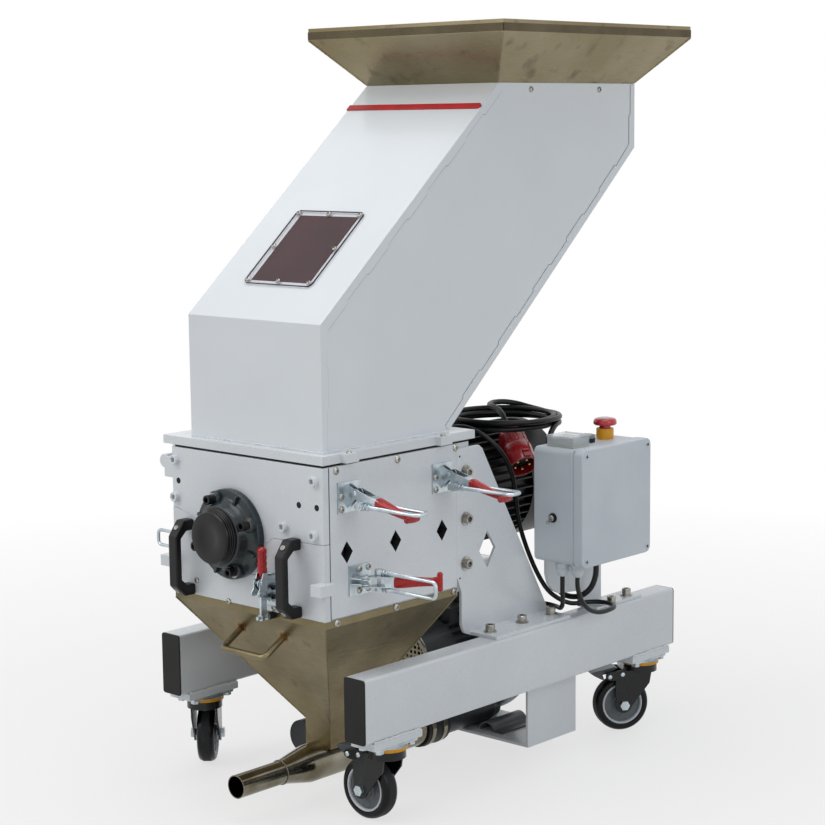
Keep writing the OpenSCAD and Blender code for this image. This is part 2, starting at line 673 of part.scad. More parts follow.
module timer_flap() color([0.8, 0.85, 0.9, 0.4]) {
    block([207, 265], [89, 137.5], [box_z1 + 16 + fit, box_z1 + 19]);
    translate([236, 137.5, box_z1 + 18]) rotate([0, 90, 0]) cylinder(r = 1.6, h = 52, center = true);
}

// ---------- handles and latches ----------

module pull_handles() color("#181818") for (x = [-133, 115])
    along_x(x - 10, x + 10) difference() {
        polygon([[face_y, 334], [face_y - 22, 334], [face_y - 40, 352], [face_y - 40, 434],
                 [face_y - 22, 459], [face_y, 459]]);
        polygon([[face_y + 1, 352], [face_y - 16, 352], [face_y - 28, 362], [face_y - 28, 430],
                 [face_y - 16, 441], [face_y + 1, 441]]);
    }

// A latch drawn with its lever's pivot at the origin: the plate that carries it lies at
// x = -pivot_out, its catch on +Z, and an open lever points along +X
pivot_out = 22;
trunnion = [20, -13];          // where the bent rod turns in the lever, in X and Z
ear_y = 5;                     // inside of the base's ears
lever_y = 7;                   // inside of the lever's cheeks
ear_t = 1.5;
module latch_base() {
    difference() {
        block([-pivot_out, -pivot_out + 3], [-24, 24], [-32, 16]);
        for (i = [-1, 1], z = [-26, -6]) translate([0, i * 17, z]) rotate([0, 90, 0])
            cylinder(r = 2.6, h = 99, center = true);
    }
    for (i = [-1, 1]) translate([0, i * (ear_y - ear_t / 2), 0])
        along_y(-ear_t / 2, ear_t / 2) difference() {
            union() {
                polygon([[-pivot_out, -28], [-pivot_out, 14], [-4, 6], [5, 0], [0, -7]]);
                circle(7);
            }
            circle(3 + pin_gap);
        }
}
module latch_lever() {
    rotate([90, 0, 0]) cylinder(r = 3, h = 2 * lever_y + 2 * ear_t, center = true);
    for (i = [-1, 1]) translate([0, i * (lever_y + ear_t / 2), 0])
        along_y(-ear_t / 2, ear_t / 2) difference() {
            union() {
                polygon([[-7, -2], trunnion + [-6, -4], trunnion + [6, -5], [50, -5], [50, 6],
                         [-2, 7]]);
                circle(7);
                translate(trunnion) circle(7);
            }
        }
    block([34, 50], [-lever_y, lever_y], [3, 6]);
    translate([trunnion[0], 0, trunnion[1]]) rotate([90, 0, 0])
        cylinder(r = 3, h = rod_gap + 10, center = true);
    block([48, lever_len - 4], [-6, 6], [-5, 5]);
    translate([lever_len - 5, 0, 0]) rotate([90, 0, 0]) cylinder(r = 5, h = 26, center = true);
}
hook_len = 118;
hook_bend = 8;
module latch_hook() translate([trunnion[0], 0, trunnion[1]]) {
    for (s = [-1, 1]) mirror([0, s < 0 ? 1 : 0, 0]) translate([0, rod_gap / 2, 0]) {
        difference() {
            union() {
                rotate([90, 0, 0]) cylinder(r = 7, h = 8, center = true);
                rotate([0, 90, 0]) cylinder(d = rod_d, h = hook_len - hook_bend);
            }
            rotate([90, 0, 0]) cylinder(r = 3 + pin_gap, h = 10, center = true);
        }
        translate([hook_len - hook_bend, -hook_bend, 0])
            rotate_extrude(angle = 90) translate([hook_bend, 0]) circle(d = rod_d);
    }
    translate([hook_len, 0, 0]) rotate([90, 0, 0])
        cylinder(d = rod_d, h = rod_gap - 2 * hook_bend, center = true);
}
upper_rest = 14;               // the open upper levers hang this far below level
lower_rest = 40;               // the lower ones are swung this far to the back
upper_hook = 14;               // a bent rod that lies on its lever's grip
lower_hook = 40;
module at_upper(y) translate([side_x + pivot_out, y, lid_z0 - 46]) rotate([0, upper_rest, 0])
    children();
module at_lower(s) mirror([s < 0 ? 1 : 0, 0, 0])
    translate([side_x + pivot_out, -342, 389]) rotate([90, 0, 0]) rotate([0, lower_rest, 0])
        children();
module upper_base(y) translate([side_x + pivot_out, y, lid_z0 - 46]) latch_base();
module lower_base(s) mirror([s < 0 ? 1 : 0, 0, 0])
    translate([side_x + pivot_out, -342, 389]) rotate([90, 0, 0]) latch_base();
module hook_turn(a) translate([trunnion[0], 0, trunnion[1]]) rotate([0, -a, 0])
    translate([-trunnion[0], 0, -trunnion[1]]) children();
module latch_bases() color("#b9c0c4") {
    for (y = tab_y) upper_base(y);
    for (s = [-1, 1]) lower_base(s);
    clamp_base();
}
module lever_upper_front() color("#c01818") at_upper(tab_y[0]) latch_lever();
module lever_upper_rear() color("#c01818") at_upper(tab_y[1]) latch_lever();
module lever_lower_right() color("#c01818") at_lower(1) latch_lever();
module lever_lower_left() color("#c01818") at_lower(-1) latch_lever();
module hook_upper_front() color("#c9cdd0") at_upper(tab_y[0]) hook_turn(upper_hook)
    latch_hook();
module hook_upper_rear() color("#c9cdd0") at_upper(tab_y[1]) hook_turn(upper_hook)
    latch_hook();
module hook_lower_right() color("#c9cdd0") at_lower(1) hook_turn(lower_hook) latch_hook();
module hook_lower_left() color("#c9cdd0") at_lower(-1) hook_turn(lower_hook) latch_hook();

// The toggle clamp on the door: its arm presses the funnel's collar home
clamp = [58, face_y - 20, 370];                    // pivot of its arm
clamp_grip = [-9, 14];                             // from there to the grip lever's pivot, Y and Z
module clamp_base() {
    block([clamp[0] - 14, clamp[0] + 14], [face_y - 3, face_y], [clamp[2] - 26, clamp[2] + 26]);
    for (i = [-1, 1]) translate([clamp[0] + i * 4.5, 0, clamp[2]]) along_x(-1, 1) difference() {
        union() {
            polygon([[face_y - 1, -22], [face_y - 1, 24], [clamp[1] + clamp_grip[0], 21],
                     [clamp[1] - 14, 10], [clamp[1] - 6, -4], [clamp[1], -7]]);
            for (p = [[0, 0], clamp_grip]) translate([clamp[1], 0] + p) circle(7);
        }
        for (p = [[0, 0], clamp_grip]) translate([clamp[1], 0] + p) circle(3 + pin_gap);
    }
}
module clamp_arm() color("#b9c0c4") translate(clamp) {
    rotate([0, 90, 0]) cylinder(r = 3, h = 11, center = true);
    along_x(-2, 2) polygon([[-6, 3], [6, 3], [5, -44], [-7, -44]]);
    translate([0, 0, -42]) rotate([-90, 0, 0]) {
        translate([0, 0, -14]) cylinder(r = 3, h = 20 + 14 - 8);
        translate([0, 0, 12]) cylinder(r = 6, h = 8 - fit);
    }
}
module clamp_lever() color("#c01818") translate(clamp + [0, clamp_grip[0], clamp_grip[1]]) {
    rotate([0, 90, 0]) cylinder(r = 3, h = 16, center = true);
    block([-8.5, -6], [-5, 5], [-18, 30]);
    block([6, 8.5], [-5, 5], [-18, 30]);
    block([-8.5, 8.5], [-5, 5], [26, 34]);
    translate([0, 0, 30]) cylinder(r = 8.5, h = 40);
    translate([0, 0, 70]) sphere(8.5);
}

// ---------- cables ----------

mains_d = 10;
coil_r = 95;
coil_tube = mains_d / 2 * (1 + sqrt(2)) + 0.1;           // four strands laid side by side
coil_at = [20, 200, rotor_z + cowl_rear_r + coil_tube + fit];   // on the motor's fan cowl
plug_back = [57.5, 176, 541.5];
plug_mouth = [104, 154, 493];
// Stands children, drawn along +Z from the origin, on the line from p to q
module between(p, q) {
    d = q - p;
    translate(p) rotate([0, acos(d[2] / norm(d)), atan2(d[1], d[0])]) children();
}
plug_len = norm(plug_mouth - plug_back);
module mains_plug() color("#b01414") between(plug_back, plug_mouth) difference() {
    union() {
        translate([0, 0, -18]) cylinder(r1 = 12, r2 = 24, h = 18);
        cylinder(r = 24, h = 30);
        translate([0, 0, 30]) cylinder(r = 27.5, h = plug_len - 30);
    }
    translate([0, 0, 34]) cylinder(r = 24.5, h = plug_len);
}
module cable_coil() color("#1a1a1a") translate(coil_at) rotate_extrude($fn = 72)
    translate([coil_r, 0]) circle(coil_tube);
// From the plug up and over to the coil, and from the coil to the switch box's rear gland
plug_end = [[46, 182, 554], [38, 186, 563], [25, 192, 574], [9, 200, 581], [-9, 207, 584],
            [-25, 217, 584], [-37, 232, 584], [-43, 252, 584], [-37, 274, 583], [-22, 291, 579],
            [-1, 299, 574], [20, 301, 571], [38, 299, 569]];
mains_end = [[114, 234, 560], [122, 213, 554], [127, 197, 538], [129, 192, 516], [130, 191, 493],
             [132, 190, 465], [136, 188, 420], [140, 187, 370], [142, 186, 334], [143, 186, 307],
             [149, 186, 286], [164, 186, 271], [184, 188, 267], [204, 191, 272], [219, 197, 286],
             [225, 203, 307], [225, 205, 329]];
module mains_cable() color("#151515") {
    sweep(curve(plug_end, 2), mains_d);
    sweep(curve(mains_end, 2), mains_d);
}
cable_d = 8;
// From the front glands: under the bracket to the blower, and up to the motor's terminal box
blower_lead = [[240, 92, 329], [239, 93, 304], [231, 104, 280], [213, 121, 264], [189, 138, 260],
               [162, 145, 259], [135, 139, 258], [100, 118, 257], [66, 99, 250], [36, 88, 238],
               [12, 85, 228]];
motor_lead = [[265, 101, 329], [265, 102, 309], [267, 110, 287], [269, 126, 270],
              [270, 146, 261], [271, 166, 258], [270, 186, 258], [265, 203, 258],
              [252, 216, 258], [235, 221, 258], [218, 216, 258], [206, 203, 258],
              [200, 187, 258], [194, 169, 261], [183, 153, 270], [168, 142, 285],
              [153, 135, 310], [138, 129, 344], [126, 122, 385], [118, 120, 420],
              [116, 117, 455], [115, 109, 490], [114, 91, 521], [108, 70, 545], [92, 54, 563],
              [69, 46, 572], [42, 42, 571], [9, 42, 560]];
module box_cables() color("#151515") {
    sweep(curve(blower_lead, 2), cable_d);
    sweep(curve(motor_lead, 2), cable_d);
}

// ---------- output ----------

base_beams();
beam_end_caps();
caster_pads();
caster_tops();
fork_front_right();
fork_front_left();
fork_rear_right();
fork_rear_left();
wheel_front_right();
wheel_front_left();
wheel_rear_right();
wheel_rear_left();
side_brackets();
blower_cradle();
front_plate();
front_door();
right_side_plate();
left_side_plate();
rear_block();
knife_beds();
rotor();
front_bearing();
bearing_cap();
lid_gasket();
lid_plate();
hinge_blocks();
hopper_body();
hopper_flare();
window_pane();
red_curtain();
funnel();
discharge_pipe();
hose_sleeve();
air_pipes();
blower_casing();
blower_motor();
blower_guard();
motor();
box_bracket();
switch_box();
box_cover();
box_fittings();
stop_button();
timer_flap();
pull_handles();
latch_bases();
lever_upper_front();
lever_upper_rear();
lever_lower_right();
lever_lower_left();
hook_upper_front();
hook_upper_rear();
hook_lower_right();
hook_lower_left();
clamp_arm();
clamp_lever();
mains_plug();
cable_coil();
mains_cable();
box_cables();
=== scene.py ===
import json
import math
import random

import bmesh
import bpy
from mathutils import Matrix, Vector

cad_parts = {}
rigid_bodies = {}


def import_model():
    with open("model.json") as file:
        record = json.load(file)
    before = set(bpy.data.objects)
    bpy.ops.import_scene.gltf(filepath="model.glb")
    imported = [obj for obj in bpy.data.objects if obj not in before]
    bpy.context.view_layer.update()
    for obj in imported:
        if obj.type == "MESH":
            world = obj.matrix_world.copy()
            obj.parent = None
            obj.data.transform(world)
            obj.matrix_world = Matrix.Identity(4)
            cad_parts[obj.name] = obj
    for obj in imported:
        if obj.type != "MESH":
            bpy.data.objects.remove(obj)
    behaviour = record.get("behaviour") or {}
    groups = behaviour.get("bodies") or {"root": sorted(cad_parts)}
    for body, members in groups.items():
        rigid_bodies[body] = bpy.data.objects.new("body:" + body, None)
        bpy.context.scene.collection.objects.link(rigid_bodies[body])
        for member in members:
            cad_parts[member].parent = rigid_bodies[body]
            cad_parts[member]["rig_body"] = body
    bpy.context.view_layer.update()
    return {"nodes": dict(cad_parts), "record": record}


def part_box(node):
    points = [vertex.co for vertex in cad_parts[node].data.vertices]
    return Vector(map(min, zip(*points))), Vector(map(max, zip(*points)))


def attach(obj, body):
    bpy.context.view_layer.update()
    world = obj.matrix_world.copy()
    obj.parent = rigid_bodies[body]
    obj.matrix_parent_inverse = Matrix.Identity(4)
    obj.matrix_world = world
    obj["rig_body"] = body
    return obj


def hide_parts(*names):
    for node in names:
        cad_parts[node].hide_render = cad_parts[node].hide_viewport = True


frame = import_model()

# Mobile plastic granulator: a white powder-coated machine on casters. Every size below is in
# millimetres, in the frame's axes: X right, Y back, Z up. piece() turns them into metres.

ROOT = "frame"                 # the body that everything fixed rides on
RIGHT, FRONT, BACK, UP, DOWN = [Vector(d) for d in (
    (1, 0, 0), (0, -1, 0), (0, 1, 0), (0, 0, 1), (0, 0, -1))]


# ---------- small helpers ----------

def low(node):
    """Lowest corner of a node, in millimetres."""
    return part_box(node)[0] * 1000


def high(node):
    """Highest corner of a node, in millimetres."""
    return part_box(node)[1] * 1000


def middle(node):
    """Middle of a node's box, in millimetres."""
    return (low(node) + high(node)) / 2


def linear(colour):
    """An sRGB hex colour as linear red, green, blue and alpha."""
    parts = [int(colour[i:i + 2], 16) / 255 for i in (1, 3, 5)]
    return [c / 12.92 if c <= 0.04045 else ((c + 0.055) / 1.055) ** 2.4 for c in parts] + [1.0]


def spun(place, angle, axis="Z"):
    """A place turned about one of its own axes, by an angle in radians."""
    return place @ Matrix.Rotation(angle, 4, axis)


def moved(place, x, y, z):
    """A place moved along its own axes."""
    return place @ Matrix.Translation((x, y, z))


def aim(at, up, side=None):
    """A place whose local Z points along up, and local X near side."""
    z = Vector(up).normalized()
    x = Vector(side) if side else (RIGHT if abs(z.x) < 0.9 else BACK)
    y = z.cross(x).normalized()
    x = y.cross(z)
    turn = Matrix((x, y, z)).transposed().to_4x4()
    return Matrix.Translation(Vector(at)) @ turn


# ---------- materials ----------

def add(tree, kind, settings=None, links=None):
    """Adds a node, sets its properties and inputs, and links its inputs."""
    node = tree.nodes.new(kind)
    for name, value in (settings or {}).items():
        if isinstance(name, str) and hasattr(node, name):
            setattr(node, name, value)
        else:
            node.inputs[name].default_value = value
    for name, socket in (links or {}).items():
        tree.links.new(socket, node.inputs[name])
    return node


def finish(name, colour, tint=None, cloud=60, metallic=0.0, rough=(0.34, 0.46), grain=1.6,
           bump=0.02, stretch=(1, 1, 1), detail=3.0, coat=0.0, spots=None, mirror=0.5,
           **sockets):
    """A surface with colour clouds of a size in mm, and a fine grain that it also feels.

    colour and tint are the two ends of the clouds, rough the two ends of the roughness that the
    grain gives, bump the depth of the grain in mm, and stretch draws the grain out, as brushing
    does. spots = (colour, size, share) adds small marks, and mirror is the specular level.
    """
    mat = bpy.data.materials.new(name)
    mat.use_nodes = True
    tree = mat.node_tree
    shader = tree.nodes["Principled BSDF"]
    place = add(tree, "ShaderNodeTexCoord").outputs["Object"]
    clouds = add(tree, "ShaderNodeTexNoise", {"Scale": 1000 / cloud, "Detail": 4.0},
                 {"Vector": place}).outputs["Fac"]
    shade = add(tree, "ShaderNodeMix", {"data_type": "RGBA", 6: linear(colour),
                                        7: linear(tint or colour)})
    spread = add(tree, "ShaderNodeMapRange", {"From Min": 0.35, "From Max": 0.65},
                 {"Value": clouds}).outputs["Result"]
    tree.links.new(spread, shade.inputs[0])
    base = shade.outputs[2]
    drawn = add(tree, "ShaderNodeMapping", {"Scale": stretch}, {"Vector": place}).outputs["Vector"]
    fine = add(tree, "ShaderNodeTexNoise", {"Scale": 1000 / grain, "Detail": detail},
               {"Vector": drawn}).outputs["Fac"]
    if spots:
        mark, size, share = spots
        dots = add(tree, "ShaderNodeTexNoise", {"Scale": 1000 / size, "Detail": 2.0},
                   {"Vector": place}).outputs["Fac"]
        where = add(tree, "ShaderNodeMapRange",
                    {"From Min": 1 - share, "From Max": 1.02 - share / 2},
                    {"Value": dots}).outputs["Result"]
        marked = add(tree, "ShaderNodeMix", {"data_type": "RGBA", 7: linear(mark)},
                     {0: where, 6: base})
        base = marked.outputs[2]
    tree.links.new(base, shader.inputs["Base Color"])
    roughness = add(tree, "ShaderNodeMapRange",
                    {"From Min": 0.3, "From Max": 0.7, "To Min": rough[0], "To Max": rough[1]},
                    {"Value": fine}).outputs["Result"]
    tree.links.new(roughness, shader.inputs["Roughness"])
    relief = add(tree, "ShaderNodeBump", {"Strength": 1.0, "Distance": bump / 1000},
                 {"Height": fine}).outputs["Normal"]
    tree.links.new(relief, shader.inputs["Normal"])
    shader.inputs["Metallic"].default_value = metallic
    shader.inputs["Coat Weight"].default_value = coat
    shader.inputs["Specular IOR Level"].default_value = mirror
    for socket, value in sockets.items():
        shader.inputs[socket.replace("_", " ").title()].default_value = value
    return mat


def heat_tinted(mat, marks, reach):
    """Brown and blue heat tint round welds: marks are points in mm, reach their radius in mm."""
    tree = mat.node_tree
    shader = tree.nodes["Principled BSDF"]
    place = add(tree, "ShaderNodeTexCoord").outputs["Object"]
    base = shader.inputs["Base Color"].links[0].from_socket
    near = None
    for mark in marks:
        gap = add(tree, "ShaderNodeVectorMath", {"operation": "DISTANCE", 1: Vector(mark) / 1000},
                  {0: place}).outputs["Value"]
        near = gap if near is None else add(tree, "ShaderNodeMath", {"operation": "MINIMUM"},
                                            {0: near, 1: gap}).outputs[0]
    ragged = add(tree, "ShaderNodeTexNoise", {"Scale": 90.0, "Detail": 3.0},
                 {"Vector": place}).outputs["Fac"]
    edge = add(tree, "ShaderNodeMath", {"operation": "MULTIPLY_ADD", 1: 0.012, 2: -0.006},
               {0: ragged}).outputs[0]
    gap = add(tree, "ShaderNodeMath", {"operation": "ADD"}, {0: near, 1: edge}).outputs[0]
    ramp = add(tree, "ShaderNodeValToRGB")
    steps = ((0.0, "#3a2a1c", 0.85), (0.3, "#5a3a1c", 0.75), (0.55, "#8a6234", 0.5),
             (0.8, "#a08a5e", 0.2), (1.0, "#a08a5e", 0.0))
    while len(ramp.color_ramp.elements) < len(steps):
        ramp.color_ramp.elements.new(1.0)
    for element, (at, colour, strength) in zip(ramp.color_ramp.elements, steps):
        element.position = at
        element.color = linear(colour)[:3] + [strength]
    scaled = add(tree, "ShaderNodeMapRange", {"From Max": reach / 1000}, {"Value": gap})
    tree.links.new(scaled.outputs["Result"], ramp.inputs["Fac"])
    mixed = add(tree, "ShaderNodeMix", {"data_type": "RGBA"},
                {0: ramp.outputs["Alpha"], 6: base, 7: ramp.outputs["Color"]})
    tree.links.new(mixed.outputs[2], shader.inputs["Base Color"])
    return mat


# Polyester powder coat on steel plate: thick and satin, with a faint orange peel
POWDER_COAT = finish("powder_coat_white", "#dfe3e6", "#d6dade", cloud=260, rough=(0.26, 0.36),
                     grain=2.4, bump=0.018, detail=1.0, coat=0.25, coat_roughness=0.12)
# The same coat on folded sheet, where it is a little smoother
SHEET_COAT = finish("powder_coat_sheet", "#e2e6e9", "#dadee2", cloud=400, rough=(0.2, 0.27),
                    grain=3.0, bump=0.012, detail=1.0, coat=0.35, coat_roughness=0.08)
# Cold-rolled stainless sheet with a satin finish: long fine scratches, warm in colour
SATIN_STAINLESS = finish("satin_stainless", "#8d8369", "#7c7154", cloud=170, metallic=1.0,
                         rough=(0.24, 0.42), grain=0.9, bump=0.01, stretch=(0.03, 0.03, 1.0),
                         spots=("#5e5440", 40.0, 0.42))
# The same sheet where it is folded over, in a darker copy: painted shade on the hem's upright band
HEM_SHADED_STAINLESS = finish("folded_hem_painted_shade", "#5f5745", "#4d4638", cloud=90, metallic=1.0,
                       rough=(0.2, 0.38), grain=0.9, bump=0.01, stretch=(0.03, 0.03, 1.0))
# The funnel's sheet: browner, with faint blotches left by handling
FUNNEL_STAINLESS = finish("funnel_stainless", "#847a5f", "#6c6249", cloud=110, metallic=1.0,
                          rough=(0.26, 0.46), grain=0.9, bump=0.012, stretch=(0.03, 0.03, 1.0),
                          spots=("#5f5238", 30.0, 0.35))
# Drawn stainless pipe: streaks that run along it, and small dark spots
PIPE_STAINLESS = finish("drawn_stainless_pipe", "#8f8a7e", "#68624f", metallic=1.0,
                        rough=(0.1, 0.24), grain=1.2, bump=0.012, stretch=(1.0, 0.03, 1.0),
                        spots=("#5b523f", 22.0, 0.3))
# Bright zinc plate over pressed steel: bluish and soft-edged
ZINC_PLATE = finish("bright_zinc_plate", "#c5ced3", "#a9b4ba", cloud=18, metallic=1.0,
                    rough=(0.24, 0.4), grain=1.1)
# Turned stainless screws, brighter than the sheet
SCREW_STEEL = finish("stainless_screw", "#b3b1ab", "#8d8a84", cloud=9, metallic=1.0,
                     rough=(0.18, 0.34), grain=0.8, bump=0.01)
# Blackened screws: dark, with a dull metal shine
BLACK_OXIDE = finish("black_oxide_screw", "#17181a", "#242628", cloud=9, metallic=0.6,
                     rough=(0.3, 0.45), grain=0.8)
# Soft PVC that the steel grips are dipped in: glossy and thick
DIPPED_GRIP = finish("dipped_pvc_red", "#b60a0e", "#9e080b", cloud=20, rough=(0.22, 0.34),
                     grain=3.0, bump=0.03, coat=0.3, coat_roughness=0.1, mirror=0.3)
# Glass-filled nylon, moulded with a fine spark-eroded grain
NYLON = finish("moulded_nylon_black", "#0e0e0f", "#141415", grain=0.9, mirror=0.28)
# Turned black plastic, a little glossier than the moulded one
CAP_PLASTIC = finish("turned_cap_black", "#0a0a0b", "#0f0f10", cloud=50, rough=(0.28, 0.36),
                     grain=1.4, bump=0.01, mirror=0.3)
# Cast iron under hammer-smooth green-grey enamel
CAST_ENAMEL = finish("cast_iron_enamel", "#222e32", "#1c272b", cloud=70, rough=(0.24, 0.32),
                     grain=3.0, bump=0.05, coat=0.2, coat_roughness=0.12, mirror=0.35)
# The motor's black paint, with a few rubbed and dusty marks
MOTOR_PAINT = finish("motor_paint_black", "#121315", "#1a1b1e", cloud=70, rough=(0.34, 0.5),
                     bump=0.05, spots=("#4a3d30", 26.0, 0.12), mirror=0.3)
# Grey paint on the blower, slightly uneven and dull
BLOWER_PAINT = finish("blower_paint_grey", "#5b6063", "#4b5053", rough=(0.3, 0.46), bump=0.06)
# Yellow-passivated perforated sheet
PASSIVATED = finish("passivated_sheet", "#cfc6ae", "#bdb294", cloud=25, metallic=0.5,
                    rough=(0.4, 0.55), grain=1.0)
# Black paint on pressed steel forks, with a wet shine
FORK_PAINT = finish("caster_fork_black", "#0b0c0d", "#111213", cloud=30, rough=(0.2, 0.3),
                    grain=2.0, coat=0.15, coat_roughness=0.1, mirror=0.3)
# A painted ring round the swivel's bearing, dusty yellow
YELLOW_RING = finish("swivel_ring_yellow", "#d99a06", "#c78a04", cloud=20, rough=(0.35, 0.5),
                     bump=0.03)
# A caster's black rubber tyre: deep black, with a soft gloss
TYRE = finish("caster_tyre_rubber", "#060707", "#0a0b0c", cloud=24, rough=(0.22, 0.34), grain=1.4,
              mirror=0.22)
# The band of it that the floor has worn grey and matt
TREAD = finish("caster_tread_worn", "#2c2d2e", "#202122", cloud=14, rough=(0.6, 0.75), grain=1.2,
               bump=0.05, mirror=0.22)
# Moulded grey polypropylene: even, with a soft shine
HUB_PLASTIC = finish("caster_hub_grey", "#5f6468", "#54595d", cloud=24, rough=(0.35, 0.46),
                     grain=1.4)
# The white plastic ring round it
HUB_RING = finish("caster_ring_white", "#d5d9de", "#cbd0d5", cloud=24, rough=(0.35, 0.46),
                  grain=1.4)
# Grey paint on the stamped brake pedals
PEDAL_PAINT = finish("caster_pedal_grey", "#454d53", "#3a4147", cloud=20, rough=(0.3, 0.42))
# Black rubber: matt, with a fine grain
RUBBER = finish("black_rubber", "#0f0f0f", "#151515", cloud=40, rough=(0.5, 0.65), grain=1.2,
                bump=0.04, mirror=0.28)
# Polyethylene caps in the beams' ends: dull, and a little brown
END_CAP = finish("end_cap_black", "#141312", "#1b1918", cloud=50, rough=(0.45, 0.55), grain=1.2,
                 bump=0.04, mirror=0.25)
# A cable's PVC jacket: smooth, with a long soft shine
CABLE_JACKET = finish("cable_jacket_black", "#0f1011", "#151618", mirror=0.32)
# Dark pipe of the air line, nearly black and dusty
AIR_HOSE = finish("air_pipe_dark", "#2b2f33", "#23272b", bump=0.03, mirror=0.35)
# Moulded ABS: a cool pale grey with a fine grain
BOX_ABS = finish("box_abs_grey", "#cdd4da", "#c4ccd3", cloud=120, grain=1.1, bump=0.04)
# Polished red plastic of the stop button, glossy
STOP_RED = finish("stop_button_red", "#c9141c", "#b81018", cloud=24, rough=(0.2, 0.32), grain=2.5,
                  coat=0.4, coat_roughness=0.12)
# Its yellow collar, a little duller
STOP_YELLOW = finish("stop_base_yellow", "#f0a80a", "#e09c06", cloud=24, rough=(0.28, 0.42),
                     grain=2.0)
# Moulded polyamide of the plug: deep red, shiny where hands polish it
PLUG_RED = finish("plug_red", "#b3121a", "#9c0e16", cloud=26, rough=(0.22, 0.34), grain=2.0,
                  bump=0.03, coat=0.4, coat_roughness=0.15)
# Turned brass: warm and bright
BRASS = finish("brass_pin", "#cdb178", "#b89a5c", cloud=10, metallic=1.0, rough=(0.2, 0.34),
               grain=1.0, bump=0.01)
# Ground tool steel, with fine lines that run one way
KNIFE_STEEL = finish("ground_knife_steel", "#8d9092", "#7a7d80", cloud=40, metallic=1.0,
                     rough=(0.25, 0.4), grain=0.8, stretch=(1, 0.05, 1))
# Red rubber strip: matt, and strong in colour
WARNING_RED = finish("red_rubber_strip", "#c01a1e", "#a81418", cloud=40, rough=(0.35, 0.5),
                     bump=0.04)
# The unlit inside of a hole
DARK_HOLE = finish("dark_hole", "#070707", cloud=20, rough=(0.8, 0.9), grain=2.0)
# The hopper's unlit inside, dark red-brown behind the clear acrylic
WINDOW_DARK = finish("window_dark_inside", "#3f2022", "#331618", cloud=90, rough=(0.5, 0.6),
                     grain=4.0, bump=0.0, mirror=0.1)
# The sheet itself: nearly clear, with sharp reflections
CLEAR_ACRYLIC = finish("clear_acrylic", "#a79da2", cloud=80, rough=(0.05, 0.1), grain=4.0,
                       bump=0.01, alpha=0.07)
# Its sawn edges, which gather a violet shade
ACRYLIC_EDGE = finish("acrylic_cut_edge", "#3c3146", "#2e2537", cloud=30, rough=(0.3, 0.4),
                      grain=1.0, bump=0.01)
# Blue-grey shade in the joint between two painted plates
CORNER_GAP = finish("corner_gap_shadow", "#474e5b", "#3c424e", rough=(0.5, 0.6), grain=2.0,
                    bump=0.0, mirror=0.2)
# Paler shade along a lapped edge
SEAM_DARK = finish("seam_shadow", "#8f959a", "#7c8287", cloud=30, rough=(0.6, 0.7), grain=1.4)
# Cream ABS of the timer's body: matt
TIMER_CREAM = finish("timer_body_cream", "#c9c8b8", "#bdbcac", cloud=30, rough=(0.35, 0.46),
                     grain=1.2)
# The selector knob's grey-green cap, polished
KNOB_GREY = finish("knob_cap_grey_green", "#7f8c88", "#6f7c79", cloud=16, rough=(0.2, 0.3),
                   grain=2.0, bump=0.01)
# Pale plastic of dials and button centres
BUTTON_MARK = finish("button_mark_pale", "#d8d2d0", "#cfc8c6", cloud=12, rough=(0.35, 0.45),
                     grain=1.2, bump=0.01)
# Polycarbonate of the flap: clear, but milky where it is thick
CLEAR_POLYCARBONATE = finish("clear_polycarbonate", "#dfe6ea", cloud=80, rough=(0.06, 0.11),
                             grain=4.0, bump=0.01, alpha=0.38)


# ---------- shapes, all in millimetres ----------

def ring(bm, place, radii, z, steps):
    """A ring of vertices: radii is one radius or a function of the angle."""
    verts = []
    for k in range(steps):
        a = 2 * math.pi * k / steps
        r = radii(a) if callable(radii) else radii
        verts.append(bm.verts.new(place @ Vector((r * math.cos(a), r * math.sin(a), z))))
    return verts


def skin(bm, rings, closed=False):
    """Faces between rings, and over the two ends of an open shape."""
    faces = []
    pairs = list(zip(rings, rings[1:])) + ([(rings[-1], rings[0])] if closed else [])
    for a, b in pairs:
        n = len(a)
        for k in range(n):
            faces.append(bm.faces.new((a[k], a[(k + 1) % n], b[(k + 1) % n], b[k])))
    if not closed:
        faces += [bm.faces.new(rings[0][::-1]), bm.faces.new(rings[-1])]
    return faces


def lathe(bm, place, profile, steps=48, closed=False):
    """Turns a profile of (radius, height) about the place's Z. Open ends are capped."""
    skin(bm, [ring(bm, place, r, z, steps) for r, z in profile], closed)


def both_sides(half):
    """A profile from its half below the middle plane."""
    return half + [(r, -z) for r, z in half[::-1]]


def block(bm, x, y, z, place=Matrix()):
    """A block between two X, two Y and two Z values."""
    corners = [bm.verts.new(place @ Vector((x[i], y[j], z[k])))
               for i in (0, 1) for j in (0, 1) for k in (0, 1)]
    for quad in ((0, 1, 3, 2), (4, 6, 7, 5), (0, 4, 5, 1), (2, 3, 7, 6), (0, 2, 6, 4),
                 (1, 5, 7, 3)):
        bm.faces.new([corners[i] for i in quad])


def prism(bm, place, outline, depth):
    """An outline in the place's XY, between two depths along its Z."""
    return skin(bm, [[bm.verts.new(place @ Vector((x, y, z))) for x, y in outline]
                     for z in depth])


def rounded(w, h, r):
    """Outline of a rectangle with round corners, centred."""
    points = []
    steps = 6
    for i, (cx, cy) in enumerate(((1, 1), (-1, 1), (-1, -1), (1, -1))):
        for k in range(steps + 1):
            a = math.pi / 2 * (i + k / steps)
            points.append((cx * (w / 2 - r) + r * math.cos(a), cy * (h / 2 - r) + r * math.sin(a)))
    return points


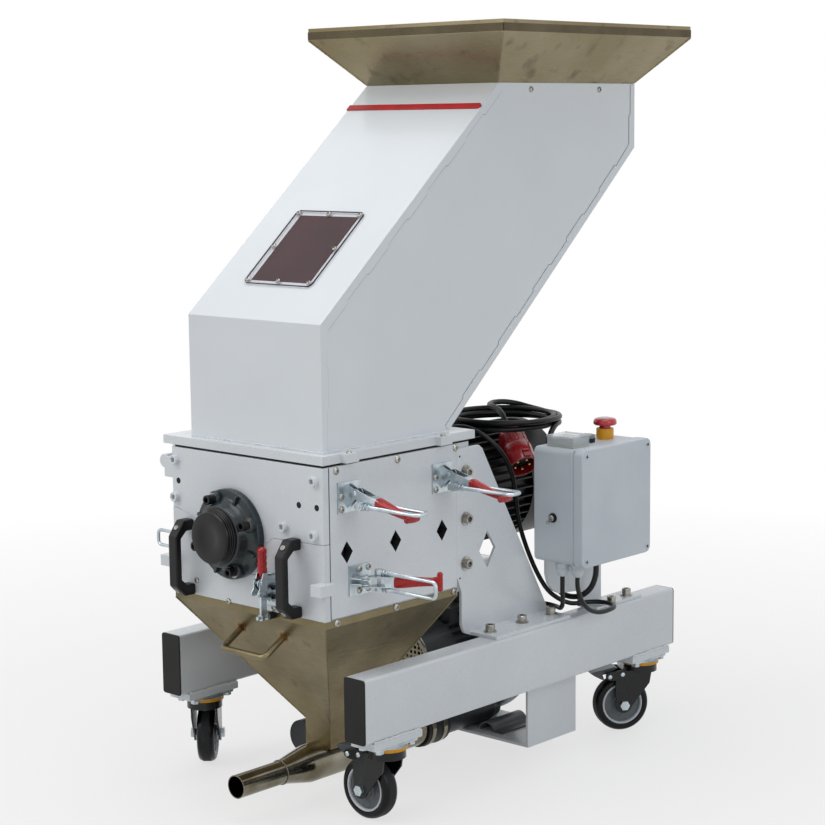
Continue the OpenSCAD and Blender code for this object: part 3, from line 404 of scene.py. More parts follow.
def smooth_path(points, parts=6):
    """A smooth line through given points."""
    points = [Vector(p) for p in points]
    line = []
    for i in range(len(points) - 1):
        a, b, c, d = (points[max(i - 1, 0)], points[i], points[i + 1],
                      points[min(i + 2, len(points) - 1)])
        for k in range(parts):
            t = k / parts
            line.append(0.5 * (2 * b + (c - a) * t + (2 * a - 5 * b + 4 * c - d) * t * t
                               + (3 * b - a - 3 * c + d) * t ** 3))
    return line + [points[-1]]


def hexagon(across):
    """Radius of a hexagon with that width across its flats, as a function of the angle."""
    return lambda a: across / 2 / math.cos((a + math.pi / 6) % (math.pi / 3) - math.pi / 6)


def show(name, mesh, mats, body, smooth, bevel, segments, replaces):
    """Puts a mesh in the scene as a piece that rides on a body."""
    obj = bpy.data.objects.new(name, mesh)
    bpy.context.scene.collection.objects.link(obj)
    for mat in mats:
        mesh.materials.append(mat)
    mesh.shade_smooth()
    mesh.set_sharp_from_angle(angle=math.radians(smooth))
    if bevel:
        mod = obj.modifiers.new("edges", "BEVEL")
        mod.width = bevel / 1000
        mod.segments = segments
        mod.limit_method = "ANGLE"
        mod.angle_limit = math.radians(32)
        mod.harden_normals = True
    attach(obj, body)
    if replaces:
        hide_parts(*replaces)
    return obj


def meshed(name, bm):
    """Ends a shape that was drawn in millimetres, as a mesh in metres."""
    bmesh.ops.recalc_face_normals(bm, faces=bm.faces)
    bmesh.ops.scale(bm, vec=(0.001, 0.001, 0.001), verts=bm.verts)
    mesh = bpy.data.meshes.new(name)
    bm.to_mesh(mesh)
    bm.free()
    return mesh


def piece(name, bm, mats, body=ROOT, slot=None, smooth=35, bevel=0.0, segments=2, replaces=()):
    """A piece from a shape that was drawn in millimetres."""
    return show(name, meshed(name, bm), mats, body, smooth, bevel, segments, replaces)


def turned(name, place, profile, mat, body=ROOT, slot=None, steps=48, closed=False, **look):
    """A piece that is one turned profile."""
    bm = bmesh.new()
    lathe(bm, place, profile, steps, closed)
    return piece(name, bm, [mat], body, slot, **look)


def blocks(name, boxes, mat, body=ROOT, slot=None, place=Matrix(), **look):
    """A piece made of blocks, each between two X, two Y and two Z values."""
    bm = bmesh.new()
    for x, y, z in boxes:
        block(bm, x, y, z, place)
    return piece(name, bm, [mat], body, slot, **look)


def dress(node, mats, bevel=1.0, segments=2, pick=None, smooth=35):
    """A copy of a node with its flat faces joined and its edges broken, in its place.

    pick tells a face's material from its middle and normal, in millimetres.
    """
    source = frame["nodes"][node]
    slot = source.data.materials[0].name if source.data.materials else None
    bm = bmesh.new()
    bm.from_mesh(source.data)
    bmesh.ops.remove_doubles(bm, verts=bm.verts, dist=2e-5)
    bmesh.ops.dissolve_limit(bm, angle_limit=math.radians(0.4), verts=bm.verts, edges=bm.edges)
    for face in bm.faces:
        face.material_index = pick(face.calc_center_median() * 1000, face.normal) if pick else 0
    mesh = bpy.data.meshes.new(node + "_dressed")
    bm.to_mesh(mesh)
    bm.free()
    return show(node + "_dressed", mesh, mats, source["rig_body"], smooth, bevel,
                segments, (node,))


def paint(node, mat):
    """Gives a node that is right as it is its real finish."""
    data = frame["nodes"][node].data
    data.materials.clear()
    data.materials.append(mat)
    data.shade_smooth()
    data.set_sharp_from_angle(angle=math.radians(35))


# ---------- camera, lights and floor ----------

scene = bpy.context.scene
scene.view_settings.view_transform = "Standard"

yaw, pitch, roll = math.radians(42.575), math.radians(8.206), math.radians(-0.656)
across = Vector((math.cos(yaw), math.sin(yaw), 0))
ahead = Vector((-math.sin(yaw) * math.cos(pitch), math.cos(yaw) * math.cos(pitch),
                -math.sin(pitch)))
above = across.cross(ahead)
rightward = across * math.cos(roll) + above * math.sin(roll)
upward = above * math.cos(roll) - across * math.sin(roll)
camera = bpy.data.objects.new("camera", bpy.data.cameras.new("camera"))
camera.data.sensor_width = 36
camera.data.lens = 88.77
camera.data.clip_end = 60
camera.matrix_world = (Matrix.Translation((2.33384, -2.55764, 1.09688))
                       @ Matrix((rightward, upward, -ahead)).transposed().to_4x4())
scene.collection.objects.link(camera)
scene.camera = camera


def lamp(name, at, towards, size, power, colour):
    """A round soft light, aimed at a point: places in metres and power in watts."""
    light = bpy.data.lights.new(name, "AREA")
    light.shape = "DISK"
    light.size = size
    light.energy = power
    light.color = colour
    obj = bpy.data.objects.new(name, light)
    obj.location = at
    obj.rotation_euler = (Vector(towards) - Vector(at)).to_track_quat("-Z", "Y").to_euler()
    scene.collection.objects.link(obj)


# A large soft light in front on the left, a weaker one on the right and one overhead
lamp("key_light", (-1.5, -2.9, 2.9), (0, -0.1, 0.6), 2.4, 40, (1.0, 0.99, 0.965))
lamp("side_light", (3.4, -0.4, 1.9), (0, 0, 0.6), 1.8, 15, (0.95, 0.975, 1.0))
lamp("top_light", (0.1, -0.2, 3.6), (0, 0, 0.5), 2.6, 40, (1.0, 1.0, 1.0))

world = bpy.data.worlds.new("studio")
scene.world = world
world.use_nodes = True
tree = world.node_tree
tree.nodes.clear()


def backdrop_rays(tree):
    """1 for the rays that show the backdrop: the camera's, mirrored and passing ones."""
    rays = add(tree, "ShaderNodeLightPath").outputs
    some = add(tree, "ShaderNodeMath", {"operation": "MAXIMUM"},
               {0: rays["Is Camera Ray"], 1: rays["Is Transmission Ray"]}).outputs[0]
    return add(tree, "ShaderNodeMath", {"operation": "MAXIMUM"},
               {0: some, 1: rays["Is Glossy Ray"]}).outputs[0]


room = add(tree, "ShaderNodeBackground", {"Color": linear("#e9eef4"), "Strength": 0.52})
white = add(tree, "ShaderNodeBackground", {"Color": (1, 1, 1, 1), "Strength": 1.0})
both = add(tree, "ShaderNodeMixShader", links={0: backdrop_rays(tree), 1: room.outputs[0],
                                             2: white.outputs[0]})
add(tree, "ShaderNodeOutputWorld", links={"Surface": both.outputs[0]})

bm = bmesh.new()
block(bm, (-9000, 9000), (-9000, 9000), (-40, -0.5))
floor_mesh = meshed("floor", bm)
# A pale floor that keeps the machine's shadow and fades into the white backdrop farther out
FLOOR = finish("pale_floor", "#cfcecb", cloud=2000, rough=(0.6, 0.7), grain=400, bump=0.0)
tree = FLOOR.node_tree
place = add(tree, "ShaderNodeTexCoord").outputs["Object"]
away = add(tree, "ShaderNodeVectorMath", {"operation": "LENGTH"}, {0: place}).outputs["Value"]
fade = add(tree, "ShaderNodeMapRange", {"From Min": 0.5, "From Max": 2.4, "To Min": 0.68,
                                        "To Max": 1.0}, {"Value": away}).outputs["Result"]
share = add(tree, "ShaderNodeMath", {"operation": "MULTIPLY"},
            {0: fade, 1: backdrop_rays(tree)}).outputs[0]
glow = add(tree, "ShaderNodeEmission", {"Color": (1, 1, 1, 1), "Strength": 1.0})
both = add(tree, "ShaderNodeMixShader", {},
           {0: share, 1: tree.nodes["Principled BSDF"].outputs[0], 2: glow.outputs[0]})
tree.links.new(both.outputs[0], tree.nodes["Material Output"].inputs["Surface"])
floor_mesh.materials.append(FLOOR)
floor = bpy.data.objects.new("floor", floor_mesh)
scene.collection.objects.link(floor)


# ---------- repeated small parts ----------

def repeat_tree(name):
    """A node tree that puts an item on points, each turned by its own angles."""
    group = bpy.data.node_groups.new(name, "GeometryNodeTree")
    for socket, kind in (("Geometry", "Geometry"), ("Item", "Object"), ("Finish", "Material"),
                         ("Spin", "Float"), ("Seed", "Int")):
        group.interface.new_socket(socket, in_out="INPUT", socket_type="NodeSocket" + kind)
    group.interface.new_socket("Geometry", in_out="OUTPUT", socket_type="NodeSocketGeometry")
    given = add(group, "NodeGroupInput").outputs
    item = add(group, "GeometryNodeObjectInfo", {"transform_space": "ORIGINAL"},
               {"Object": given["Item"]})
    turn = add(group, "GeometryNodeInputNamedAttribute", {"data_type": "FLOAT_VECTOR",
                                                          "Name": "turn"})
    rotation = add(group, "FunctionNodeEulerToRotation", links={0: turn.outputs["Attribute"]})
    placed = add(group, "GeometryNodeInstanceOnPoints", {},
                 {"Points": given["Geometry"], "Instance": item.outputs["Geometry"],
                  "Rotation": rotation.outputs[0]})
    spin = add(group, "FunctionNodeRandomValue", {"data_type": "FLOAT"},
               {"Max": given["Spin"], "Seed": given["Seed"]})
    # the random value node shows one Max for each kind of data: link the float one
    for link in list(spin.inputs["Max"].links):
        group.links.remove(link)
    floats = [s for s in spin.inputs if s.type == "VALUE"]
    group.links.new(given["Spin"], floats[1])
    around = add(group, "ShaderNodeCombineXYZ", links={"Z": spin.outputs[1]})
    spun = add(group, "GeometryNodeRotateInstances", links={"Instances": placed.outputs[0],
                                                          "Rotation": around.outputs[0]})
    real = add(group, "GeometryNodeRealizeInstances", links={0: spun.outputs[0]})
    painted = add(group, "GeometryNodeSetMaterial", links={"Geometry": real.outputs[0],
                                                         "Material": given["Finish"]})
    add(group, "NodeGroupOutput", links={"Geometry": painted.outputs[0]})
    return group


REPEAT = repeat_tree("repeat_on_points")


def repeat(name, item, places, mat, body=ROOT, spin=0.0, seed=1, smooth=35):
    """Copies of an item, drawn by item(bm) round its own origin, at a list of places."""
    bm = bmesh.new()
    item(bm)
    one = bpy.data.objects.new(name + "_one", meshed(name + "_one", bm))
    points = bpy.data.meshes.new(name + "_points")
    points.from_pydata([p.translation / 1000 for p in places], [], [])
    turn = points.attributes.new("turn", "FLOAT_VECTOR", "POINT")
    for value, place in zip(turn.data, places):
        value.vector = place.to_euler()
    carrier = bpy.data.objects.new(name + "_carrier", points)
    scene.collection.objects.link(carrier)
    scene.collection.objects.link(one)
    mod = carrier.modifiers.new("repeat", "NODES")
    mod.node_group = REPEAT
    values = {"Item": one, "Finish": mat, "Spin": spin, "Seed": seed}
    for socket in REPEAT.interface.items_tree:
        if socket.in_out == "INPUT" and socket.name in values:
            mod[socket.identifier] = values[socket.name]
    bpy.context.view_layer.update()
    mesh = bpy.data.meshes.new_from_object(
        carrier.evaluated_get(bpy.context.evaluated_depsgraph_get()))
    mesh.name = name
    mesh.materials.clear()
    for obj in (carrier, one):
        bpy.data.objects.remove(obj)
    if "turn" in mesh.attributes:
        mesh.attributes.remove(mesh.attributes["turn"])
    return show(name, mesh, [mat], body, smooth, 0, 1, ())


# Each of the next functions gives a draw(bm) for repeat(): a part that stands on its origin


def socket_head(width, height, across, depth):
    """A cap screw's head with a hexagon socket."""
    r = width / 2

    def draw(bm):
        lathe(bm, Matrix(), [(r - 0.3, 0), (r, 0.3), (r, height - 0.6), (r - 0.6, height),
                             (across * 0.62, height), (hexagon(across), height - 0.3),
                             (hexagon(across), height - depth)], steps=24)
    return draw


def button_head(width, height, across):
    """A domed head with a hexagon socket."""
    r = width / 2

    def draw(bm):
        lathe(bm, Matrix(), [(r, 0), (r * 0.97, height * 0.35), (r * 0.8, height * 0.75),
                             (r * 0.58, height), (hexagon(across), height - 0.1),
                             (hexagon(across), height * 0.35)], steps=24)
    return draw


def cross_head(width, height):
    """A pan head with a cross recess."""
    r = width / 2

    def draw(bm):
        lathe(bm, Matrix(), [(r, 0), (r, height * 0.4), (r * 0.85, height * 0.85),
                             (r * 0.6, height)], steps=24)
        for a in (0, math.pi / 2):
            block(bm, (-r * 0.5, r * 0.5), (-r * 0.1, r * 0.1), (height - 0.05, height + 0.04),
                  Matrix.Rotation(a, 4, "Z"))
    return draw


def hex_bolt(across, height, washer=0.0):
    """A hexagon head, on a washer where it has one."""
    r = across / 2

    def draw(bm):
        base = 0.0
        if washer:
            lathe(bm, Matrix(), [(washer / 2, 0), (washer / 2, 1.2), (r, 1.3)], steps=32)
            base = 1.2
        lathe(bm, Matrix(), [(hexagon(across), base), (hexagon(across), base + height * 0.85),
                             (hexagon(across * 0.9), base + height)], steps=24)
    return draw


def washer(outer, inner, thick):
    """A flat ring."""
    def draw(bm):
        lathe(bm, Matrix(), [(inner / 2, 0), (outer / 2, 0), (outer / 2, thick),
                             (inner / 2, thick)], steps=32, closed=True)
    return draw


def bead(name, path, radius, mat, seed=1, body=ROOT, pitch=0.9, wander=0.5):
    """A weld bead along a path: overlapping ripples, each slightly out of place and tilted."""
    rng = random.Random(seed)
    path = [Vector(p) for p in path]
    places = []
    for a, b in zip(path, path[1:]):
        count = max(1, round((b - a).length / (radius * pitch)))
        for k in range(count):
            at = a.lerp(b, (k + 0.5) / count)
            at += Vector([rng.uniform(-wander, wander) * radius * 0.3 for _ in range(3)])
            places.append(spun(aim(at, b - a), rng.uniform(-0.2, 0.2), "X"))

    def draw(bm):
        lathe(bm, Matrix(), [(radius * 0.55, -radius * 0.8), (radius * 0.9, -radius * 0.45),
                             (radius, 0), (radius * 0.9, radius * 0.35),
                             (radius * 0.5, radius * 0.6)], steps=10)
    return repeat(name, draw, places, mat, body=body, smooth=50)


def screws(name, head, places, seed, mat=SCREW_STEEL, body=ROOT):
    """Screws with one kind of head, each tightened to an angle of its own."""
    return repeat(name, head, places, mat, body, spin=6.28, seed=seed)


def hole(name, places, width, mat=DARK_HOLE):
    """Dark round holes, drawn as thin discs that lie on a face."""
    def draw(bm):
        lathe(bm, Matrix(), [(width / 2, -0.2), (width / 2, 0.12)], steps=24)
    return repeat(name, draw, places, mat)


def loft(bm, place, sections):
    """Rounded sections (x, half width in Y, half height in Z, shift in Z) along the place's X."""
    steps, power = 32, 2.5               # a power of 2 gives ellipses, a higher one squarer ones
    rings = []
    for x, ry, rz, dz in sections:
        verts = []
        for k in range(steps):
            a = 2 * math.pi * k / steps
            c, s = math.cos(a), math.sin(a)
            verts.append(bm.verts.new(place @ Vector((
                x, ry * math.copysign(abs(c) ** (2 / power), c),
                dz + rz * math.copysign(abs(s) ** (2 / power), s)))))
        rings.append(verts)
    skin(bm, rings)


# ---------- cords ----------

def cord(name, line, diameter, replaces):
    """A cable along a line in millimetres from its gland."""
    data = bpy.data.curves.new(name, "CURVE")
    data.dimensions = "3D"
    data.bevel_depth = diameter / 2000
    data.bevel_resolution = 4
    data.use_fill_caps = True
    spline = data.splines.new("POLY")
    spline.points.add(len(line) - 1)
    for point, at in zip(spline.points, line):
        point.co = [*(c / 1000 for c in at), 1]
    data.materials.append(CABLE_JACKET)
    obj = bpy.data.objects.new(name, data)
    scene.collection.objects.link(obj)
    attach(obj, ROOT)
    if replaces:
        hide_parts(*replaces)


# The mains cable: down out of the rear gland, up behind the box, round the coil and to the plug
coil_low, coil_high = low("cable_coil"), high("cable_coil")
coil_mid = (coil_low + coil_high) / 2
MAINS_D = 10                             # the cable's diameter
COIL_R = 95                              # and the coil's radius
STRAND = MAINS_D / 2 * math.sqrt(2)      # from the bundle's middle to each of its four strands
FIRST, LAST = 20.0, 80.0 + 3 * 360       # angles where the cable joins and leaves the coil
STEP = 12                                # degrees between the coil's points

box_to_coil = [(225, 205, 329), (225, 203, 307), (219, 197, 286), (204, 191, 272), (184, 188, 267),
               (164, 186, 271), (149, 186, 286), (143, 186, 307), (142, 186, 334), (140, 187, 370),
               (136, 188, 420), (132, 190, 465), (130, 191, 493), (129, 192, 516), (127, 197, 538),
               (122, 213, 554)]
coil = []
for k in range(int((LAST - FIRST) / STEP) + 1):
    angle = math.radians(FIRST + k * STEP)
    lay = math.radians(-45 - k * STEP / 4)
    out = COIL_R + STRAND * math.cos(lay)
    coil.append((coil_mid.x + out * math.cos(angle), coil_mid.y + out * math.sin(angle),
                 coil_mid.z + STRAND * math.sin(lay)))
coil_to_plug = [(20, 301, 571), (-1, 299, 574), (-22, 291, 579), (-37, 274, 583), (-43, 252, 584),
                (-37, 232, 584), (-25, 217, 584), (-9, 207, 584), (9, 200, 581), (25, 192, 574),
                (38, 186, 563), (46, 182, 554)]
mains_line = smooth_path(box_to_coil + coil + coil_to_plug, 4)

# The plug points to the right and down; its own Z runs from its cable to its pins
PLUG_BACK, PLUG_MOUTH = Vector((57.5, 176, 541.5)), Vector((104, 154, 493))
plug_place = aim(PLUG_BACK, PLUG_MOUTH - PLUG_BACK, side=(0, 0, 1))
PLUG_LEN = (PLUG_MOUTH - PLUG_BACK).length

bm = bmesh.new()
lathe(bm, plug_place, [(6.5, -20), (9, -20), (10, -17), (12, -14), (12.5, -12), (20.5, -5),
                       (23, 0), (24, 3), (24, 24), (25.2, 25), (25.2, 29), (26, 31),
                       (27.2, 33), (27.2, PLUG_LEN - 3), (26.6, PLUG_LEN), (24.6, PLUG_LEN),
                       (24.2, PLUG_LEN - 1), (24.2, 36), (5.2, 36), (5.2, -18)],
      steps=64, closed=True)
for a in range(0, 360, 30):              # grip ribs on the handle
    block(bm, (23.2, 24.9), (-1.6, 1.6), (5, 23), spun(plug_place, math.radians(a)))
plug_body = piece("plug_shell", bm, [PLUG_RED], slot="red_plastic", bevel=0.5,
                  replaces=["mains_plug"])
bm = bmesh.new()
lathe(bm, plug_place, [(5.2, 36.2), (24.1, 36.2), (24.1, 38), (21, 38.6), (5.2, 38.6)],
      steps=48, closed=True)
lathe(bm, plug_place, [(20.2, 38.5), (20.2, 56), (19.4, 57)], steps=48)
plug_face = piece("plug_insert", bm, [NYLON], slot="red_plastic", bevel=0.3)
pins = [moved(spun(plug_place, math.radians(a)), 13.6, 0, 57) for a in (126, 198, 270, 342, 54)]


def pin(bm):
    """A brass pin of the plug."""
    lathe(bm, Matrix(), [(2.5, -3), (2.5, 8), (2.0, 9)], steps=20)


plug_pins = repeat("plug_pins", pin, pins, BRASS)
# The keeper on top that the socket's lid catches
plug_keeper = blocks("plug_keeper", [((26.5, 30), (-6, 6), (PLUG_LEN - 16, PLUG_LEN - 2)),
                                     ((29.5, 33), (-6, 6), (PLUG_LEN - 16, PLUG_LEN - 12))],
                     PLUG_RED, slot="red_plastic", place=plug_place, bevel=0.8)
cord("mains_cord", mains_line, MAINS_D, ["mains_cable", "cable_coil"])

# The two leads from the front glands
blower_lead = smooth_path([(240, 92, 329), (239, 93, 304), (231, 104, 280), (213, 121, 264),
                           (189, 138, 260), (162, 145, 259), (135, 139, 258), (100, 118, 257),
                           (66, 99, 250), (36, 88, 238), (12, 85, 228)], 5)
motor_lead = smooth_path([(265, 101, 329), (265, 102, 309), (267, 110, 287), (269, 126, 270),
                          (270, 146, 261), (271, 166, 258), (270, 186, 258), (265, 203, 258),
                          (252, 216, 258), (235, 221, 258), (218, 216, 258), (206, 203, 258),
                          (200, 187, 258), (194, 169, 261), (183, 153, 270), (168, 142, 285),
                          (153, 135, 310), (138, 129, 344), (126, 122, 385), (118, 120, 420),
                          (116, 117, 455), (115, 109, 490), (114, 91, 521), (108, 70, 545),
                          (92, 54, 563), (69, 46, 572), (42, 42, 571), (9, 42, 560)], 5)
cord("blower_lead", blower_lead, 8, ["box_cables"])
cord("motor_lead", motor_lead, 8, [])


# ---------- base, casters and brackets ----------

dress("base_beams", [POWDER_COAT], bevel=0)
dress("beam_end_caps", [END_CAP], bevel=1.4, segments=3)
dress("caster_pads", [POWDER_COAT], bevel=1.0)
dress("side_brackets", [POWDER_COAT], bevel=0.8)
dress("blower_cradle", [POWDER_COAT], bevel=0.8)
PLATE_TOP = 128                          # height of the casters' top plates
# The swivel's yellow ring shows between the top plate and the fork
dress("caster_tops", [ZINC_PLATE, YELLOW_RING], bevel=0.6,
      pick=lambda at, normal: 1 if 121.9 < at.z < PLATE_TOP and normal.z < 0.5 else 0)

# Fillet welds along the pads' long sides, under the beams
pad_low, pad_high = low("caster_pads"), high("caster_pads")
PAD_LEN = 111
SWIVEL_IN = 25                           # a swivel axis is so far in from its pad's outer side
WELD_OUT = 23.2                          # and each weld so far from the swivel axis
for s, hand in ((1, "right"), (-1, "left")):
    for y0, end in ((pad_low.y, "front"), (pad_high.y - PAD_LEN, "rear")):
        for edge in (-1, 1):
            x = s * (pad_high.x - SWIVEL_IN) + edge * WELD_OUT
            bead(f"pad_weld_{hand}_{end}_{edge + 1}",
                 [(x, y, pad_high.z + 0.6) for y in (y0 + 3, y0 + PAD_LEN - 3)], 2.6,
                 POWDER_COAT, seed=7 + edge, wander=0.9)

CHEEK_OUT = 23.4                         # from a wheel's middle plane to its fork's outer sides
corners = ("front_right", "front_left", "rear_right", "rear_left")
plate_bolts = []
rivets = {corner: [] for corner in corners}
for corner in corners:
    fork, wheel = "fork_" + corner, "wheel_" + corner
    fork_body, wheel_body = fork + "_body", wheel + "_body"
    hub = middle(wheel)
    s, end = (1 if "right" in corner else -1), (0 if "front" in corner else 1)
    pin_at = Vector((s * (pad_high.x - SWIVEL_IN),
                     (pad_low.y, pad_high.y)[end] + (PAD_LEN / 2, -PAD_LEN / 2)[end], hub.z))
    trail = (hub - pin_at).normalized()
    axle = Vector((-trail.y, trail.x, 0))

    def on_fork(along, up, out):
        """A point by its way from the hub: along the trail, up, and out along the axle."""
        return hub + trail * along + Vector((0, 0, up)) + axle * out

    # The fork is black, but for the zinc axle and its nuts
    dress(fork, [FORK_PAINT, ZINC_PLATE], bevel=1.0,
          pick=lambda at, normal: 1 if abs((at - hub).dot(axle)) > 23.3
          and (at - hub).length < 30 and at.z < hub.z + 12 and (at - hub).cross(axle).length < 11
          else 0)
    # Two rivets through each cheek, above the wheel, and the brake pedal's arms and tread
    for along, up in ((27, 54), (3, 57)):
        for cheek in (-1, 1):
            rivets[corner].append(aim(on_fork(along, up, cheek * CHEEK_OUT), axle * cheek))
    bm = bmesh.new()
    for cheek in (-1, 1):
        skin(bm, [[bm.verts.new(on_fork(along, up, cheek * w))
                   for along, up in ((-6, 46), (-6, 63), (8, 64.4), (31, 61), (34.5, 57),
                                     (34, 50), (27, 46.5), (14, 46))]
                  for w in (CHEEK_OUT - 3, CHEEK_OUT)])
    piece("pedal_arms_" + corner, bm, [FORK_PAINT], fork_body, "black_steel", bevel=0.7)
    bm = bmesh.new()
    skin(bm, [[bm.verts.new(on_fork(along, up, w))
               for along, up in ((9, 67), (16, 69), (57, 61.5), (60, 59.5), (52, 54), (38, 46.5),
                                 (34.6, 47.5), (38, 56), (18, 62))] for w in (-15, 15)])
    piece("brake_pedal_" + corner, bm, [PEDAL_PAINT], fork_body, "black_steel", bevel=1.2)
    for x in (-17, 17):
        for y in (-36, 36):
            plate_bolts.append(aim(pin_at + Vector((x, y, PLATE_TOP - hub.z)), DOWN))
    place = aim(hub, axle, side=trail)
    bm = bmesh.new()
    lathe(bm, place, both_sides([(37.4, -12), (38.4, -14), (41.5, -15), (45.5, -14),
                                 (48.4, -11), (49.8, -7), (50, -5.6)]), steps=72, closed=True)
    back_in = place.inverted()
    for facet in bm.faces:
        at = back_in @ facet.calc_center_median()
        facet.material_index = 1 if math.hypot(at.x, at.y) > 49 and abs(at.z) < 6.5 else 0
    piece("tyre_" + corner, bm, [TYRE, TREAD], wheel_body, "caster_tyre", replaces=[wheel])
    bm = bmesh.new()
    lathe(bm, place, both_sides([(6.3, -16), (12.5, -16), (14, -14.6), (15, -11), (17, -9.5),
                                 (33.6, -9.5)]), steps=72, closed=True)
    for k in range(10):                  # faint round ribs moulded in the hub's two sides
        turn = spun(place, math.radians(36 * k + 20))
        lathe(bm, moved(spun(turn, math.pi * (k % 2), "X"), 25.2, 0, 9.4),
              [(6.2, 0), (6.4, 0.5), (7.2, 0.5), (7.4, 0)], steps=28, closed=True)
    piece("hub_" + corner, bm, [HUB_PLASTIC], wheel_body, "caster_tyre", bevel=0.3)
    turned("hub_ring_" + corner, place,
           both_sides([(33.4, -10.5), (33.8, -13), (35.2, -14.2), (36.8, -14), (37.6, -12.6)]),
           HUB_RING, wheel_body, "caster_tyre", steps=72, closed=True)
    # Dust covers over the axle bearings
    bm = bmesh.new()
    for z in (-1, 1):
        lathe(bm, place, [(6.4, z * 15.6), (10.5, z * 15.6), (10.5, z * 17), (6.4, z * 17.4)],
              steps=32, closed=True)
    piece("bearing_shields_" + corner, bm, [ZINC_PLATE], wheel_body, "zinc_steel")


def rivet_head(bm):
    """A domed rivet's head."""
    lathe(bm, Matrix(), [(4.4, 0), (4.3, 0.6), (3.6, 1.5), (2.3, 2.1), (0.4, 2.3)], steps=28)


for corner in corners:
    repeat("fork_rivets_" + corner, rivet_head, rivets[corner], ZINC_PLATE,
           body=f"fork_{corner}_body")
screws("caster_bolts", hex_bolt(13, 5), plate_bolts, 3, ZINC_PLATE)


# ---------- cutting chamber ----------

dress("front_plate", [POWDER_COAT], bevel=1.3, segments=3)
dress("front_door", [POWDER_COAT], bevel=0.45)
for node in ("right_side_plate", "left_side_plate"):
    dress(node, [POWDER_COAT, DARK_HOLE], bevel=1.0,    # the unlit insides of the openings
          pick=lambda at, normal: 1 if abs(normal.x) < 0.5 and -380 < at.y < -120
          and 410 < at.z < 460 else 0)
dress("rear_block", [POWDER_COAT], bevel=1.0)
hinges = dress("hinge_blocks", [POWDER_COAT], bevel=1.0)
# The hinge pins a little thinner, so that they turn freely in their eyes
PIN_IN, PIN_R = 11, 5.3                  # the pins' axis from the blocks' edges, and their radius
pin_x, pin_z = low("hinge_blocks").x + PIN_IN, high("hinge_blocks").z - PIN_IN
for vert in hinges.data.vertices:
    off = Vector((vert.co.x - pin_x / 1000, 0, vert.co.z - pin_z / 1000))
    if off.length < PIN_R / 1000:
        vert.co -= off * 0.04
dress("lid_plate", [POWDER_COAT], bevel=1.6, segments=3)
dress("lid_gasket", [RUBBER], bevel=0.6)
for node in ("knife_beds", "rotor"):
    paint(node, KNIFE_STEEL)

face = low("front_plate").y              # the machine's front face
side = high("right_side_plate").x        # outer face of the right side plate
lid_top = high("lid_plate").z
# The joints between the front and the side plates, which stay dark between two white edges
joint_y = low("right_side_plate").y
for s in (-1, 1):
    blocks(f"corner_joint_{s + 1}", [((s * (side - 1), s * (side + 0.15)),
                                      (joint_y - 0.9, joint_y + 0.8),
                                      (low("front_door").z + 1, high("front_plate").z - 1))],
           CORNER_GAP, slot="white_paint")


def on_front(points, y=face):
    """Places on the front face, at (x, z)."""
    return [aim((x, y, z), FRONT) for x, z in points]


def on_sides(points):
    """Places on the outer faces of both side plates, at (y, z)."""
    return [aim((s * side, y, z), (s, 0, 0)) for s in (-1, 1) for y, z in points]


# Painted-over cap screws and open dowel holes in the front face
front_screws = on_front(((-164, 552.5), (-165, 491), (156, 552), (88, 473), (154, 467)),
                        face + 0.6)
screws("front_screws", socket_head(16, 8.6, 8.4, 4.4), front_screws, 4, POWDER_COAT)


def socket_floor(bm):
    """The bare floor of a painted screw's socket."""
    lathe(bm, Matrix(), [(4, 3.6), (4, 4.5)], steps=24)


repeat("front_screw_sockets", socket_floor, front_screws, ZINC_PLATE)
hole("front_holes", on_front(((-159, 518), (121, 511), (160, 511))), 10)
screws("door_screws", button_head(10, 3.2, 4), on_front(((-120, 358), (-44, 334), (60, 340))), 5)
# Screws that hold the lid's gasket strip and the funnel's collar
screws("side_screws", button_head(12.5, 3, 5),
       on_sides(((-381, 566), (-243, 566), (-105, 567), (-111, 328), (-250, 328), (-384, 328))),
       6)
WASHER_RISE = 1.8                        # a bolt's head stands on its washer
bracket_bolts = on_sides(((-80, 524), (-81, 446), (-82, 371)))
screws("bracket_bolts", socket_head(16, 9, 8.4, 5),
       [moved(p, 0, 0, WASHER_RISE) for p in bracket_bolts], 7)
repeat("bracket_washers", washer(23, 10, 2), bracket_bolts, SCREW_STEEL)


def filling(bm):
    """A hole that is filled and painted over."""
    lathe(bm, Matrix(), [(6.4, -0.3), (6.2, 0.25), (5.4, 0.4), (4.4, 0.1), (0.5, 0.1)], steps=32)


# Filled holes beside the bracket's bolts, and small pin holes by the side plates' rear corners
repeat("filled_holes", filling, on_sides(((-83, 547), (-84, 347))), POWDER_COAT)
hole("side_pin_holes", on_sides(((-96, 348), (-94, 551))), 3.6)
# Bolts through the brackets' feet, and two through the foot of the switch box's bracket
foot_bolts = [aim((s * 202, y, 254), UP) for s in (-1, 1) for y in (-53, 30, 108)]
foot_bolts += [aim((232, 240, 253), UP), aim((216, 305, 253), UP)]
screws("foot_bolts", socket_head(16, 11, 8.4, 5),
       [moved(p, 0, 0, WASHER_RISE) for p in foot_bolts], 8)
repeat("foot_washers", washer(22, 10, 2), foot_bolts, SCREW_STEEL)

